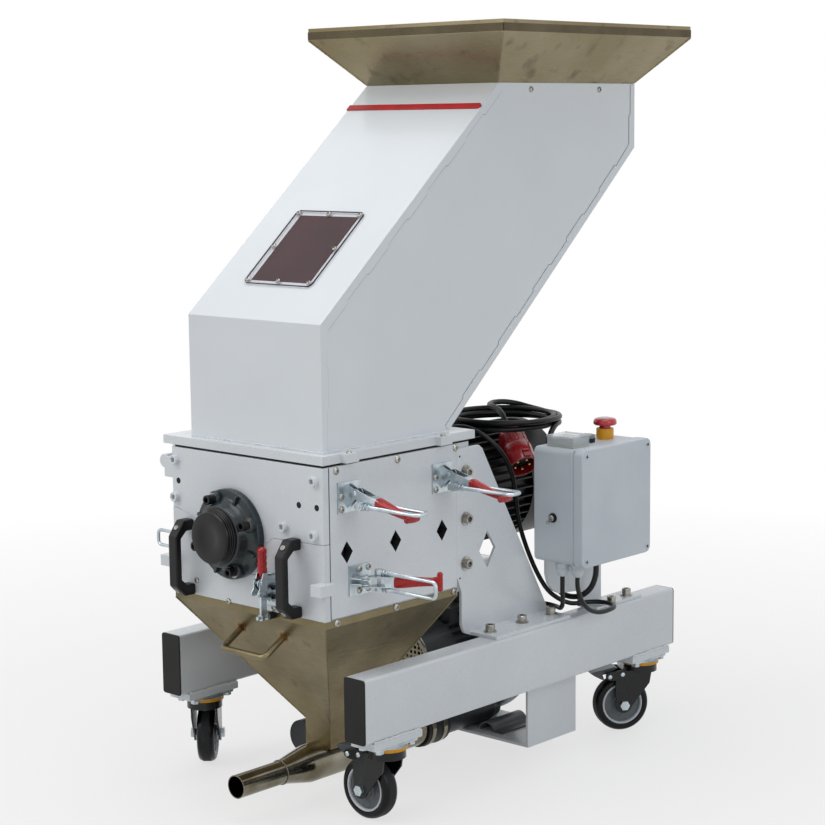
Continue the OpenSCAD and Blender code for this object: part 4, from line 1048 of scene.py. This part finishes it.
# Bearing: a cast flange with raised bosses, ribs between them and a hub
bearing = middle("front_bearing")
hub_at = aim((bearing.x, face, bearing.z), FRONT, side=RIGHT)
bm = bmesh.new()
lathe(bm, hub_at, [(72, 0), (73, 1), (73, 10.4), (71.4, 12), (62, 12.4), (58, 13.6), (55.4, 16),
                   (52.4, 24), (50.6, 31), (49.6, 33.4), (48.6, 34), (22.1, 34), (22.1, 0)],
      steps=96, closed=True)
BOSS_R = 60.3                            # radius of the bolt circle
for k in range(8):
    turn = spun(hub_at, math.radians(45 * k + 22.5))
    if k % 2 == 0:                       # a boss with a bolt, then a rib
        lathe(bm, moved(turn, BOSS_R, 0, 0),
              [(12.7, 1), (12.7, 16.5), (12.2, 18.6), (10.8, 19.8), (9, 20)], steps=40)
        block(bm, (48, 56), (-9, 9), (2, 19), turn)
    else:
        block(bm, (48, 70), (-2.6, 2.6), (2, 18), turn)
piece("bearing_housing", bm, [CAST_ENAMEL], slot="cast_housing", bevel=1.1, segments=3,
      replaces=["front_bearing"])
bolt_at = [moved(spun(hub_at, math.radians(90 * k + 22.5)), BOSS_R, 0, 20) for k in range(4)]
repeat("bearing_washers", washer(20, 9, 1.8), bolt_at, SCREW_STEEL)
screws("bearing_bolts", socket_head(15.6, 13, 8.4, 6),
       [moved(p, 0, 0, WASHER_RISE) for p in bolt_at], 9, BLACK_OXIDE)
cap_at = aim((bearing.x, high("bearing_cap").y, bearing.z), FRONT, side=RIGHT)
profile = [(46, 0), (46, 3.4), (45.4, 4)]
for k in range(3):                       # three grooves round the cap
    z = 4.4 + 3.4 * k
    profile += [(44.6 - k, z), (43.2 - k, z + 0.5), (43.2 - k, z + 1.4), (44.4 - k, z + 1.9)]
profile += [(42, 15.4), (40.4, 17.4), (37, 18), (20, 18), (19, 17.6), (2, 17.6)]
turned("bearing_cap_turned", cap_at, profile, CAP_PLASTIC, slot="black_plastic", steps=96,
       smooth=30, replaces=["bearing_cap"])

# Black nylon pull handles with a screw at each end
dress("pull_handles", [NYLON], bevel=3.0, segments=4)
wells = [aim((x, face - y, z), (0, -1, 0.9 * d)) for x in (-133, 115)
         for y, z, d in ((30.2, 447.8, 1), (31.2, 343.2, -1))]
hole("handle_wells", wells, 10.5, mat=BLACK_OXIDE)
screws("handle_screws", socket_head(9, 1.2, 5, 0.9), wells, 10)


# ---------- hopper ----------

SLOPE = math.radians(40.8)               # how far the window's sheet leans back
BEND_Z = 789.5                           # where the slanted front starts
REAR_FOOT = -100                         # Y of the hopper's rear edge on its base plate
MOUTH_FRONT = 33.4                       # Y of the upright front of the hopper's mouth
hop_low, hop_high = low("hopper_body"), high("hopper_body")
foot = hop_low.y                         # the hopper's front
slope_at = aim((0, foot, BEND_Z), (0, -math.sin(SLOPE), math.cos(SLOPE)), side=RIGHT)

dress("hopper_body", [SHEET_COAT], bevel=0.9, segments=3)
flare_low, flare_high = low("hopper_flare"), high("hopper_flare")
dress("hopper_flare", [SATIN_STAINLESS], bevel=0.5)
# The hem that is folded down over the flare's rim, in the sheet's darker copy: painted shade
HEM = 0.7
hem_x, hem_y = ((flare_low[i] - HEM, flare_high[i] + HEM) for i in (0, 1))
hem_z = (flare_high.z - 19, flare_high.z - 6)
blocks("flare_hem",
       [((x - HEM, x + HEM), hem_y, hem_z) for x in (flare_low.x, flare_high.x)]
       + [(hem_x, (y - HEM, y + HEM), hem_z) for y in (flare_low.y, flare_high.y)],
       HEM_SHADED_STAINLESS, "hopper", "stainless", bevel=0.4)


def corner_seams(name, narrow, wide, radius, mat, seed, body=ROOT):
    """Ground weld seams up the four corners, between two rectangles ((x, x), (y, y), z)."""
    for i in (0, 1):
        for j in (0, 1):
            ends = [(xs[i], ys[j], z) for xs, ys, z in (narrow, wide)]
            bead(f"{name}_{i}{j}", ends, radius, mat, seed=seed + i + 2 * j, body=body,
                 pitch=0.6)


corner_seams("flare_seam", ((hop_low.x, hop_high.x), (MOUTH_FRONT, hop_high.y), hop_high.z + 1),
             ((flare_low.x, flare_high.x), (flare_low.y, flare_high.y), flare_high.z - 20), 1.5,
             SATIN_STAINLESS, 20, "hopper")

# The front and back sheets are lapped over the side sheets, with a stepped inner edge
LAP = 13.0                               # width of the laps
TAB = 62                                 # and the length of each tab in them


def stepped(a, b, inward, first, gap):
    """A line along an edge, at the lap's width, that steps in and out between its tabs."""
    a, b, inward = Vector(a), Vector(b), Vector(inward)
    count = max(2, round((b - a).length / TAB))
    along = (b - a).normalized()
    line = []
    for k in range(count):
        wide = LAP + gap + (2.2 if (k + first) % 2 else -1.6)
        for t, slack in ((k / count, 2.0), ((k + 1) / count, -2.0)):
            line.append(a.lerp(b, t) + along * slack + inward * wide)
    return line


REAR_BEND = 1042.5                       # height where the back turns upright
front_line = [Vector((foot, lid_top + 0.6)), Vector((foot, BEND_Z)),
              Vector((MOUTH_FRONT, hop_high.z - 1))]
rear_line = [Vector((REAR_FOOT, lid_top + 0.6)), Vector((hop_high.y, REAR_BEND)),
             Vector((hop_high.y, hop_high.z - 1))]
slant = (front_line[2] - front_line[1]).normalized()
back = (rear_line[1] - rear_line[0]).normalized()


def lap_edges(gap):
    """The inner edges of the laps along the front and the back sheet, a gap farther in."""
    return ((stepped(front_line[0], front_line[1], (1, 0), 0, gap)[:-1]
             + stepped(front_line[1] + LAP * Vector((0.35, 0)), front_line[2],
                       (slant.y, -slant.x), 1, gap)),
            (stepped(rear_line[0], rear_line[1], (-back.y, back.x), 0, gap)[:-1]
             + stepped(rear_line[1] + LAP * Vector((0, 0.3)), rear_line[2], (-1, 0), 1, gap)))


laps = [line + edge[::-1] for line, edge in zip((front_line, rear_line), lap_edges(0))]
seams = [edge + inner[::-1] for edge, inner in zip(lap_edges(-0.5), lap_edges(1.1))]
for s, x in ((1, hop_high.x), (-1, hop_low.x)):
    for name, outlines, out, coat, bevel in (("lap", laps, 1.3, SHEET_COAT, 0.4),
                                             ("seam", seams, 0.12, SEAM_DARK, 0)):
        bm = bmesh.new()
        for outline in outlines:
            skin(bm, [[bm.verts.new((depth, y, z)) for y, z in outline]
                      for depth in (x - s * 1.2, x + s * out)])
        piece(f"hopper_{name}_{s + 1}", bm, [coat], "hopper", "white_paint", bevel=bevel)

# Two screws that hold the flare, high on each side
FLARE_SCREW_Z = 1144
screws("flare_screws", button_head(10, 3.2, 4),
       [aim((x, y, FLARE_SCREW_Z), (s, 0, 0)) for s, x in ((1, hop_high.x), (-1, hop_low.x))
        for y in (118, 305)], 18, body="hopper")
# Fillet weld where the hopper stands on its base plate
foot_line = [(x, y, lid_top + 0.8) for x, y in (
    (hop_low.x, foot), (hop_high.x, foot), (hop_high.x, REAR_FOOT), (hop_low.x, REAR_FOOT),
    (hop_low.x, foot))]
bead("hopper_foot_weld", foot_line, 2.2, SHEET_COAT, seed=33, body="hopper", pitch=0.8,
     wander=1.2)

# Window: a clear sheet over the dark opening, held by eight screws
bm = bmesh.new()
prism(bm, slope_at, [(-64, 84), (68, 84), (68, 234), (-64, 234)], (-0.6, 0.5))
piece("window_opening", bm, [WINDOW_DARK], "hopper", "clear_window", bevel=0)
bm = bmesh.new()
WINDOW_X, WINDOW_Y, WINDOW_TOP = 1.5, 159, 3.7      # the sheet's middle and its outer face
outline = [(WINDOW_X + x, WINDOW_Y + y) for x, y in rounded(153, 168, 9)]
for facet in prism(bm, slope_at, outline, (0.7, WINDOW_TOP))[:-2]:
    facet.material_index = 1             # the cut edges
piece("window_sheet", bm, [CLEAR_ACRYLIC, ACRYLIC_EDGE], "hopper", "clear_window",
      replaces=["window_pane"])
screws("window_screws", button_head(9, 2.4, 3.5),
       [moved(slope_at, WINDOW_X + x, WINDOW_Y + y, WINDOW_TOP) for y in (-77, 0, 77)
        for x in (-69.5, 0, 69.5) if (x, y) != (0, 0)], 11, body="hopper")
bm = bmesh.new()
prism(bm, slope_at, [(-147, 494), (150, 494), (156, 500), (150, 506), (-147, 506)], (0, 2.6))
piece("curtain_edge", bm, [WARNING_RED], "hopper", "red_rubber", bevel=0.5,
      replaces=["red_curtain"])

# Screw heads on the two tabs that the upper latches pull down
screws("tab_screws", button_head(10, 3, 4),
       [aim((side + 4, y, lid_top), UP) for y in (-356, -139)], 12, body="hopper")


# ---------- funnel and pipes ----------

bar_roots = [(-36, -390, 289), (61, -390, 289)]
heat_tinted(FUNNEL_STAINLESS, bar_roots, 17)
dress("funnel", [FUNNEL_STAINLESS], bevel=0.5)
# A ring of weld round each root of the funnel's bar, square to the bar
BAR_LEAN = math.radians(30.3)
bar_out = Vector((0, -math.cos(BAR_LEAN), -math.sin(BAR_LEAN)))
bar_side = bar_out.orthogonal().normalized()
bar_up = bar_out.cross(bar_side)
for k, root in enumerate(bar_roots):
    centre = Vector(root) + bar_out * 0.4
    ringed = [centre + 5.6 * (bar_side * math.cos(a) + bar_up * math.sin(a))
              for a in (2 * math.pi * n / 18 for n in range(19))]
    bead(f"bar_weld_{k}", ringed, 1.5, FUNNEL_STAINLESS, seed=40 + k,
         wander=1.4)
corner_seams("funnel_seam", ((9.5, 66.5), (-296, -250), 127), ((-174, 174), (face, -103), 322),
             1.2, FUNNEL_STAINLESS, 44)

dress("discharge_pipe", [PIPE_STAINLESS], bevel=0)
pipe_x, pipe_z = 38, 60                  # the outlet's axis
weld_ring = [(pipe_x + 20 * math.cos(a), -383.6, pipe_z + 20 * math.sin(a))
             for a in (2 * math.pi * n / 30 for n in range(31))]
heat_tinted(PIPE_STAINLESS, [(pipe_x, -384, pipe_z), (pipe_x, -325, 78)], 18)
bead("outlet_weld", weld_ring, 0.8, PIPE_STAINLESS, seed=50, wander=0.3)
sleeve_low, sleeve_high = low("hose_sleeve"), high("hose_sleeve")
length = sleeve_high.y - sleeve_low.y
turned("rubber_sleeve", aim((pipe_x, sleeve_low.y, pipe_z), BACK, side=RIGHT),
       [(31.2, 0.4), (34.4, 0.2), (35, 1), (35, length - 1), (34.4, length), (31.2, length)],
       RUBBER, slot="black_rubber", steps=72, closed=True, replaces=["hose_sleeve"])


def hose_clamp(name, y):
    """A worm-drive clamp: a band, its housing and its screw."""
    at = aim((pipe_x, y, pipe_z), BACK, side=RIGHT)
    bm = bmesh.new()
    lathe(bm, at, [(35.1, 0), (35.9, 0), (35.9, 9), (35.1, 9)], steps=72, closed=True)
    house = spun(at, math.radians(-50))
    block(bm, (35.5, 39.5), (-8, 8), (-0.6, 9.6), house)
    lathe(bm, house @ aim((40.5, -11, 4.5), BACK, side=RIGHT),
          [(3.6, 0), (3.6, 3), (2.4, 3.4), (2.4, 18)], steps=16)
    piece(name, bm, [PIPE_STAINLESS], slot="machined_steel", bevel=0.3)


hose_clamp("hose_clamp_front", sleeve_low.y + 8)
hose_clamp("hose_clamp_rear", sleeve_high.y - 18)
paint("air_pipes", AIR_HOSE)


# ---------- blower ----------

cowl = middle("blower_guard")
blower_at = aim((cowl.x, low("blower_guard").y, cowl.z), FRONT, side=RIGHT)
dress("blower_casing", [BLOWER_PAINT], bevel=1.6)
dress("blower_motor", [BLOWER_PAINT], bevel=0.8)
PITCH = 9.0                              # of the guard's square holes


def mesh_cell(bm):
    """One cell of the guard's sheet: a square hole between four strips."""
    h, w = PITCH / 2, 2.9
    for x, y in (((-h, h), (w, h)), ((-h, h), (-h, -w)), ((-h, -w), (-w, w)), ((w, h), (-w, w))):
        block(bm, x, y, (-1, 0))


cells = [moved(blower_at, i * PITCH, j * PITCH, 0)
         for i in range(-7, 8) for j in range(-7, 8) if math.hypot(i, j) * PITCH < 50]
repeat("guard_sheet", mesh_cell, cells, PASSIVATED)
# The guard's rim, the cowl's rolled edge round it, and the fan behind it. The rolled edge is grey
# paint: its bright steel is a painted highlight along it
turned("guard_rim", blower_at, [(49, -1.2), (50, 0.1), (55, 0.3), (56.8, 0.3), (56.8, -1.8),
                                (50, -1.8)],
       PASSIVATED, slot="cream_paint", steps=72, closed=True, replaces=["blower_guard"])
turned("cowl_bead", blower_at, [(56.9, 0.6), (57.6, 2.4), (59, 2.4), (60.2, 1), (60.2, -2),
                                (57, -2), (56.9, -1)],
       SCREW_STEEL, slot="grey_paint", steps=96, closed=True)
turned("fan_hub", blower_at, [(19, -6), (21, -4), (21, -3), (8, -2.6), (6, -2.6)], BLOWER_PAINT,
       slot="grey_paint", bevel=0.5)
bm = bmesh.new()
for k in range(9):
    block(bm, (18, 54), (-0.8, 0.8), (-30, -8),
          spun(spun(blower_at, 2 * math.pi * k / 9), 0.5, "X"))
piece("fan_blades", bm, [NYLON], slot="grey_paint")
BLOWER_BOX_TOP = 241                     # height of the lid of the blower's own box
screws("blower_box_screws", cross_head(6, 2),
       [aim((cowl.x + x, y, BLOWER_BOX_TOP), UP) for x in (-25, 25) for y in (67, 103)], 13)


# ---------- main motor ----------

dress("motor", [MOTOR_PAINT], bevel=0.5, segments=1)
motor_high = high("motor")
screws("motor_box_screws", cross_head(7, 2.4),
       [aim((bearing.x + x, y, motor_high.z), UP) for x in (-35, 35) for y in (1, 79)], 14)
FLANGE_R, FLANGE_Y = 102, -49            # the flange's bolt circle, and its rear face
flange_bolts = [aim((bearing.x + FLANGE_R * math.cos(a), FLANGE_Y,
                     bearing.z + FLANGE_R * math.sin(a)), BACK)
                for a in (math.radians(45 + 90 * k) for k in range(4))]
screws("motor_flange_bolts", hex_bolt(17, 7, washer=22), flange_bolts, 15, ZINC_PLATE)
rear_at = aim((bearing.x, motor_high.y, bearing.z), BACK, side=RIGHT)      # the cowl's end


def slot_hole(bm):
    """An air slot in the end of the fan cowl."""
    block(bm, (-11, 11), (-1.7, 1.7), (-0.2, 0.15))


slots = [spun(moved(spun(rear_at, 2 * math.pi * k / n), r, 0, 0), math.pi / 2)
         for r, n in ((34, 7), (46, 10), (58, 12), (70, 15), (82, 18)) for k in range(n)]
repeat("cowl_slots", slot_hole, slots, DARK_HOLE)
turned("motor_gland", aim(motor_lead[-1], RIGHT),
       [(11, -1), (11, 7), (9.5, 8), (9.5, 13), (8, 15), (4.2, 15)],
       NYLON, slot="black_plastic", steps=6, bevel=0.6)


# ---------- switch box ----------

dress("box_bracket", [POWDER_COAT], bevel=0.9)
dress("switch_box", [BOX_ABS], bevel=1.0)
dress("box_cover", [BOX_ABS], bevel=2.6, segments=4)
box_low, box_high = low("switch_box"), high("switch_box")
front_x = high("box_cover").x
cover_screws = [aim((front_x, y, z), RIGHT) for y in (box_low.y + 9, box_high.y - 9)
                for z in (box_low.z + 9, box_high.z - 9)]
screws("cover_screws", cross_head(8.4, 1.4), cover_screws, 16, BOX_ABS)


def recess(bm):
    """The dark cross in a corner screw, open to one side."""
    for a in (0.4, 0.4 + math.pi / 2):
        block(bm, (-3.4, 3.4), (-0.8, 0.8), (1.3, 1.55), Matrix.Rotation(a, 4, "Z"))


screws("cover_screw_crosses", recess, cover_screws, 16, DARK_HOLE)
# The cover's rim laps over the box: a fine shadow line between them, and a rib behind it
seam_x = low("box_cover").x
box_mid, box_size = (box_low + box_high) / 2, box_high - box_low
for name, grow, x0, x1, mat, edge in (("cover_seam", 0.5, -0.5, 0.5, SEAM_DARK, {}),
                                      ("box_rib", 1.6, -7, -4, BOX_ABS,
                                       {"bevel": 1.0, "segments": 3})):
    bm = bmesh.new()
    outer = rounded(box_size.y + grow, box_size.z + grow, 7)
    skin(bm, [[bm.verts.new((seam_x + x, box_mid.y + y, box_mid.z + z)) for y, z in outer]
              for x in (x0, x1)])
    piece(name, bm, [mat], slot="box_plastic", **edge)

# Glands: a hexagon nut against the box and a domed nut below it
bm = bmesh.new()
for line in (blower_lead, motor_lead, mains_line):
    at = aim((line[0].x, line[0].y, box_low.z), DOWN)
    lathe(bm, at, [(12.6, 0), (12.6, 1.2), (hexagon(22), 1.4), (hexagon(22), 7),
                   (11, 7.4), (11, 10), (11.4, 10.4), (11.2, 15), (9.8, 19.4), (7.6, 22.6),
                   (5.6, 24)], steps=36)
piece("cable_glands", bm, [BOX_ABS], slot="box_plastic", bevel=0.4)

top = box_high.z
ROW_X = 236                              # the controls on the box's top stand in one row

# Stop button: a yellow collar, a red mushroom head and its pale centre
stop_at = aim((ROW_X, 215, top), UP)
turned("stop_collar", stop_at, [(14.6, 0), (14.6, 2.4), (15, 3), (15, 17), (14.4, 18.4),
                                (10.6, 18.6), (10.6, 12), (0.5, 12)],
       STOP_YELLOW, slot="box_plastic", steps=64, bevel=0.3, replaces=["box_fittings"])
turned("stop_mushroom", stop_at, [(9.8, 17.6), (9.8, 23), (14, 23.4), (18.4, 24.2), (20, 26),
                                  (20.2, 28.6), (19.6, 32), (17.8, 34.4), (14.6, 35.6),
                                  (11.4, 35.8), (10.6, 35.4), (0.4, 35.2)],
       STOP_RED, "stop_button_body", "red_plastic", steps=64, replaces=["stop_button"])
turned("stop_centre", stop_at, [(10.8, 35), (10.6, 36), (9, 36.8), (5, 37.2), (0.4, 37.3)],
       BUTTON_MARK, "stop_button_body", "red_plastic")

# Dial of the timer under its clear flap
blocks("timer_body", [((208, 264), (90, 135), (top, top + 2.4)),
                      ((211.4, 260.6), (93.4, 131.6), (top + 2, top + 12.6))],
       TIMER_CREAM, slot="box_plastic", bevel=0.8)
wall_z = (top + 2.4, top + 15.8)
blocks("timer_housing", [((208.2, 263.8), (90.2, 91.6), wall_z),
                         ((208.2, 263.8), (133.4, 134.8), wall_z),
                         ((208.2, 209.6), (91.6, 133.4), wall_z),
                         ((262.4, 263.8), (91.6, 133.4), wall_z)],
       CLEAR_POLYCARBONATE, slot="box_plastic", bevel=0.3)
bm = bmesh.new()
dial_at = aim((ROW_X, 112, top + 12.6), UP)
lathe(bm, dial_at, [(15, 0), (15, 0.8), (14.4, 1.2), (9, 1.4)], steps=64)
lathe(bm, dial_at, [(6.5, 1), (6, 1.9), (0.6, 2)], steps=32)
piece("timer_dial", bm, [BUTTON_MARK], slot="box_plastic")
blocks("timer_pointer", [((-1.1, 1.1), (-6, 6), (1.5, 2.5))], STOP_RED, slot="box_plastic",
       place=spun(dial_at, 0.6), bevel=0.2)


def tick(bm):
    """A mark on the timer's scale."""
    block(bm, (10.4, 13.4), (-0.35, 0.35), (1.2, 1.45))


repeat("timer_ticks", tick, [spun(dial_at, 2 * math.pi * k / 24) for k in range(24)], NYLON)
flap_z = low("timer_flap").z
bm = bmesh.new()
block(bm, (207, 265), (89, 137.2), (flap_z, flap_z + 2.6))
lathe(bm, aim((210, 137.5, flap_z + 1.7), RIGHT), [(1.6, 0), (1.6, 52)], steps=24)
piece("clear_flap", bm, [CLEAR_POLYCARBONATE], "timer_flap_body", "clear_window", bevel=0.6,
      replaces=["timer_flap"])

# Small selector knob between the timer and the stop button: a black base and a pale cap
knob_at = aim((ROW_X, 165, top), UP)
turned("selector_base", knob_at, [(13.8, 0), (13.8, 6.4), (13.2, 7), (0.5, 7)], NYLON,
       slot="black_plastic", bevel=0.3)
turned("selector_cap", knob_at, [(13, 7), (13, 11.6), (12.2, 13), (9, 13.8), (0.5, 14)],
       KNOB_GREY, slot="black_plastic", bevel=0.3)

# Toggle switch on the box's front end
toggle_at = aim((234, box_low.y, 431), FRONT, side=RIGHT)
turned("toggle_nut", toggle_at, [(8.2, 0), (8.2, 0.9), (hexagon(14), 1), (hexagon(14), 3.2),
                                 (hexagon(13), 3.6)],
       BLACK_OXIDE, slot="machined_steel", steps=36)
bm = bmesh.new()
lathe(bm, toggle_at, [(5.4, 2), (5.4, 6), (4.6, 7), (3, 7.2)], steps=32)
lathe(bm, spun(toggle_at, math.radians(22), "X"),
      [(1.7, 4), (1.9, 9), (2.5, 14.5), (2.7, 16.6), (1.8, 18)], steps=24)
piece("toggle_switch", bm, [SCREW_STEEL], slot="machined_steel")


# ---------- latches ----------

dress("latch_bases", [ZINC_PLATE], bevel=0.4)
pivots = {row["name"]: Vector(row["pos_m"]) * 1000
          for row in frame["record"]["behaviour"]["joints"] if "pos_m" in row}

# Each latch's own frame, as its base is fixed, and the angle at which its lever rests
latches = {}
for name in ("upper_front", "upper_rear"):
    latches[name] = (Matrix.Translation(pivots["open_" + name]), 14)
for name, s in (("lower_right", 1), ("lower_left", -1)):
    at = Matrix.Translation(pivots["open_" + name]) @ Matrix.Scale(s, 4, (1, 0, 0))
    latches[name] = (spun(at, math.radians(90), "X"), 40)

BASE_FACE = -19                          # outer face of a latch's base, from its pivot
LEG_OUT = 13                             # and the rod's legs, to both sides of its middle
TRUNNION = Vector((20, 0, -13))          # the pin between lever and rod
LOBE_R = 4.7                             # radius of the two lobes at the grip's end
for name, (base, rest) in latches.items():
    lever_body, hook_body = f"lever_{name}_body", f"hook_{name}_body"
    at = spun(base, math.radians(rest), "Y")
    # Cheeks of folded steel, with the red grip dipped over their ends
    bm = bmesh.new()
    outline = [(-7, -1.5), (-6, -4.6), (-3, -6.6), (4, -7), (13, -15.6), (17, -19.4),
               (21, -20), (25, -18.4), (27.6, -14), (28.6, -8.6), (33, -5.4), (50, -5),
               (50, 5.6), (30, 6.4), (6, 7), (-1, 7), (-4.6, 5.4), (-6.8, 2)]
    for cheek in ((-8.5, -7), (7, 8.5)):
        skin(bm, [[bm.verts.new(at @ Vector((x, y, z))) for x, z in outline] for y in cheek])
    block(bm, (30, 50), (-7.2, 7.2), (4.6, 6.2), at)
    for s in (-1, 1):                    # the pivot's rivet heads, then the pin that holds the rod
        lathe(bm, spun(moved(at, 0, s * 8.4, 0), -s * math.pi / 2, "X"),
              [(4.6, 0), (4.4, 1), (3, 1.7), (0.4, 1.9)], steps=24)
    lathe(bm, spun(moved(at, *TRUNNION), math.pi / 2, "X"), [(2.9, -17.8), (2.9, 17.8)],
          steps=24)
    piece("latch_cheeks_" + name, bm, [ZINC_PLATE], lever_body, "zinc_steel", bevel=0.35)
    bm = bmesh.new()
    loft(bm, at, [(43.6, 8.2, 6.4, 0.6), (44.4, 9.4, 7.4, 0.6), (47, 9.9, 7.8, 0.5),
                  (60, 9.4, 7.4, 0), (76, 8.0, 6.6, -0.4), (92, 6.9, 5.8, -0.2),
                  (103, 6.6, 5.2, 0), (109.6, 8, 4.9, 0), (112.4, 12.4, 4.8, 0),
                  (115, 13.4, 4.7, 0), (117.4, 13, 4.5, 0), (118.9, 11.2, 3.8, 0),
                  (119.4, 8.4, 2.4, 0)])
    # the two lobes of the T at the end
    for s in (-1, 1):
        lobe = moved(at, 115, s * 11.2, 0)
        rings = []
        for a in (math.pi * k / 10 for k in range(1, 10)):
            r, y = LOBE_R * math.sin(a), s * -LOBE_R * math.cos(a)
            rings.append([bm.verts.new(lobe @ Vector((r * math.cos(b), y, r * math.sin(b))))
                          for b in (2 * math.pi * n / 20 for n in range(20))])
        skin(bm, rings)
    piece("latch_grip_" + name, bm, [DIPPED_GRIP], lever_body, "red_grip", smooth=60,
          replaces=["lever_" + name])
    dress("hook_" + name, [ZINC_PLATE], bevel=0, smooth=40)
    # Threads on the rod's legs, with two nuts each that set its length
    rod = spun(moved(at, *TRUNNION), math.radians(-rest), "Y")
    bm = bmesh.new()
    for s in (-1, 1):
        for x in (8.5, 15.5):
            lathe(bm, rod @ aim((x, s * LEG_OUT, 0), RIGHT),
                  [(3.1, 0), (hexagon(8.2), 0.3), (hexagon(8.8), 0.8), (hexagon(8.8), 4.2),
                   (hexagon(8.2), 4.7), (3.1, 5)], steps=24, closed=True)
        thread = []
        for k in range(36):
            thread += [(3.02, 20.5 + k), (3.28, 21 + k)]
        lathe(bm, rod @ aim((0, s * LEG_OUT, 0), RIGHT), thread, steps=20)
    piece("rod_nuts_" + name, bm, [ZINC_PLATE], hook_body, "zinc_steel")
    # Four screws in the base, aimed afresh, as one latch's own frame is a mirror image
    heads = [spun(moved(base, BASE_FACE, y, z), math.pi / 2, "Y")
             for y in (-17, 17) for z in (-26, -6)]
    screws("latch_screws_" + name, button_head(11, 2.8, 4.2),
           [aim(head.translation, head.to_3x3() @ UP) for head in heads], 17)

# Toggle clamp on the door
dress("clamp_arm", [ZINC_PLATE, RUBBER], bevel=0.4,
      pick=lambda at, normal: 1 if at.y > face - 8.3 and at.z < 335 else 0)
clamp, lever = pivots["clamp_arm_swing"], pivots["clamp_lever_swing"]
# Two stamped links, a pin through them, and lugs that reach down to the arm's pivot
outline = [(3, 16), (13, 16), (14, 2), (12, -8), (8, -15), (3, -19.5), (-3, -21), (-9, -20),
           (-10, -15), (-5, -8), (-5, 2), (0, 7)]
bm = bmesh.new()
for s in (-1, 1):
    skin(bm, [[bm.verts.new((lever.x + s * w, lever.y + y, lever.z + z)) for y, z in outline]
              for w in (6.1, 7.9)])
block(bm, (lever.x - 7, lever.x + 7), (lever.y + 12, lever.y + 13.6), (lever.z - 4, lever.z + 16))
lathe(bm, aim((lever.x - 9.6, lever.y, lever.z), RIGHT),
      [(0.5, 0), (3.4, 0.2), (4.2, 1.6), (2.9, 1.7), (2.9, 17.4), (4.2, 17.6), (3.4, 19),
       (0.5, 19.2)], steps=24)
for s in (-1, 1):
    lathe(bm, aim((lever.x + s * 7.7, lever.y - 5, lever.z - 16.4), (s, 0, 0)),
          [(4, 0), (3.8, 1), (2.8, 1.7), (0.5, 1.9)], steps=24)
piece("clamp_links", bm, [ZINC_PLATE], "clamp_lever_body", "zinc_steel", bevel=0.4)
profile = [(4.4, 7), (5.4, 7.6), (5.4, 14)]
for k in range(4):                       # four soft bulges under the fingers
    z = 15.4 + 9.6 * k
    profile += [(6.6, z), (7.5, z + 2.2), (7.8, z + 4.8), (7.5, z + 7.4)]
profile += [(6.5, 53), (5, 55), (3, 56), (0.4, 56.3)]
turned("clamp_grip", aim((lever.x, lever.y + 8, lever.z), UP), profile, DIPPED_GRIP,
       "clamp_lever_body", "red_grip", steps=40, smooth=60, replaces=["clamp_lever"])
bm = bmesh.new()
spindle = aim((clamp.x, clamp.y - 16, clamp.z - 42), BACK)
for z in (8.5, 20.5):
    lathe(bm, spindle, [(3, z), (hexagon(10), z + 0.3), (hexagon(10), z + 4.6), (3, z + 5)],
          steps=24)
piece("clamp_spindle_nuts", bm, [ZINC_PLATE], "clamp_arm_body", "zinc_steel")
bm = bmesh.new()
for s in (-1, 1):
    for p in (clamp, lever):
        lathe(bm, aim(p + Vector((s * 5.3, 0, 0)), (s, 0, 0)),
              [(4.2, 0), (4, 0.5), (0.4, 0.6)], steps=24)
piece("clamp_rivets", bm, [SCREW_STEEL], slot="zinc_steel")
bm = bmesh.new()
for z in (360, 375):                     # black cap screws in the clamp's foot
    lathe(bm, aim((clamp.x + 11.9, face - 3, z), FRONT), [(3.6, 0), (3.6, 8.2), (3.1, 9),
                                                          (2.1, 9), (2, 6)], steps=28)
piece("clamp_foot_screws", bm, [BLACK_OXIDE], slot="zinc_steel")
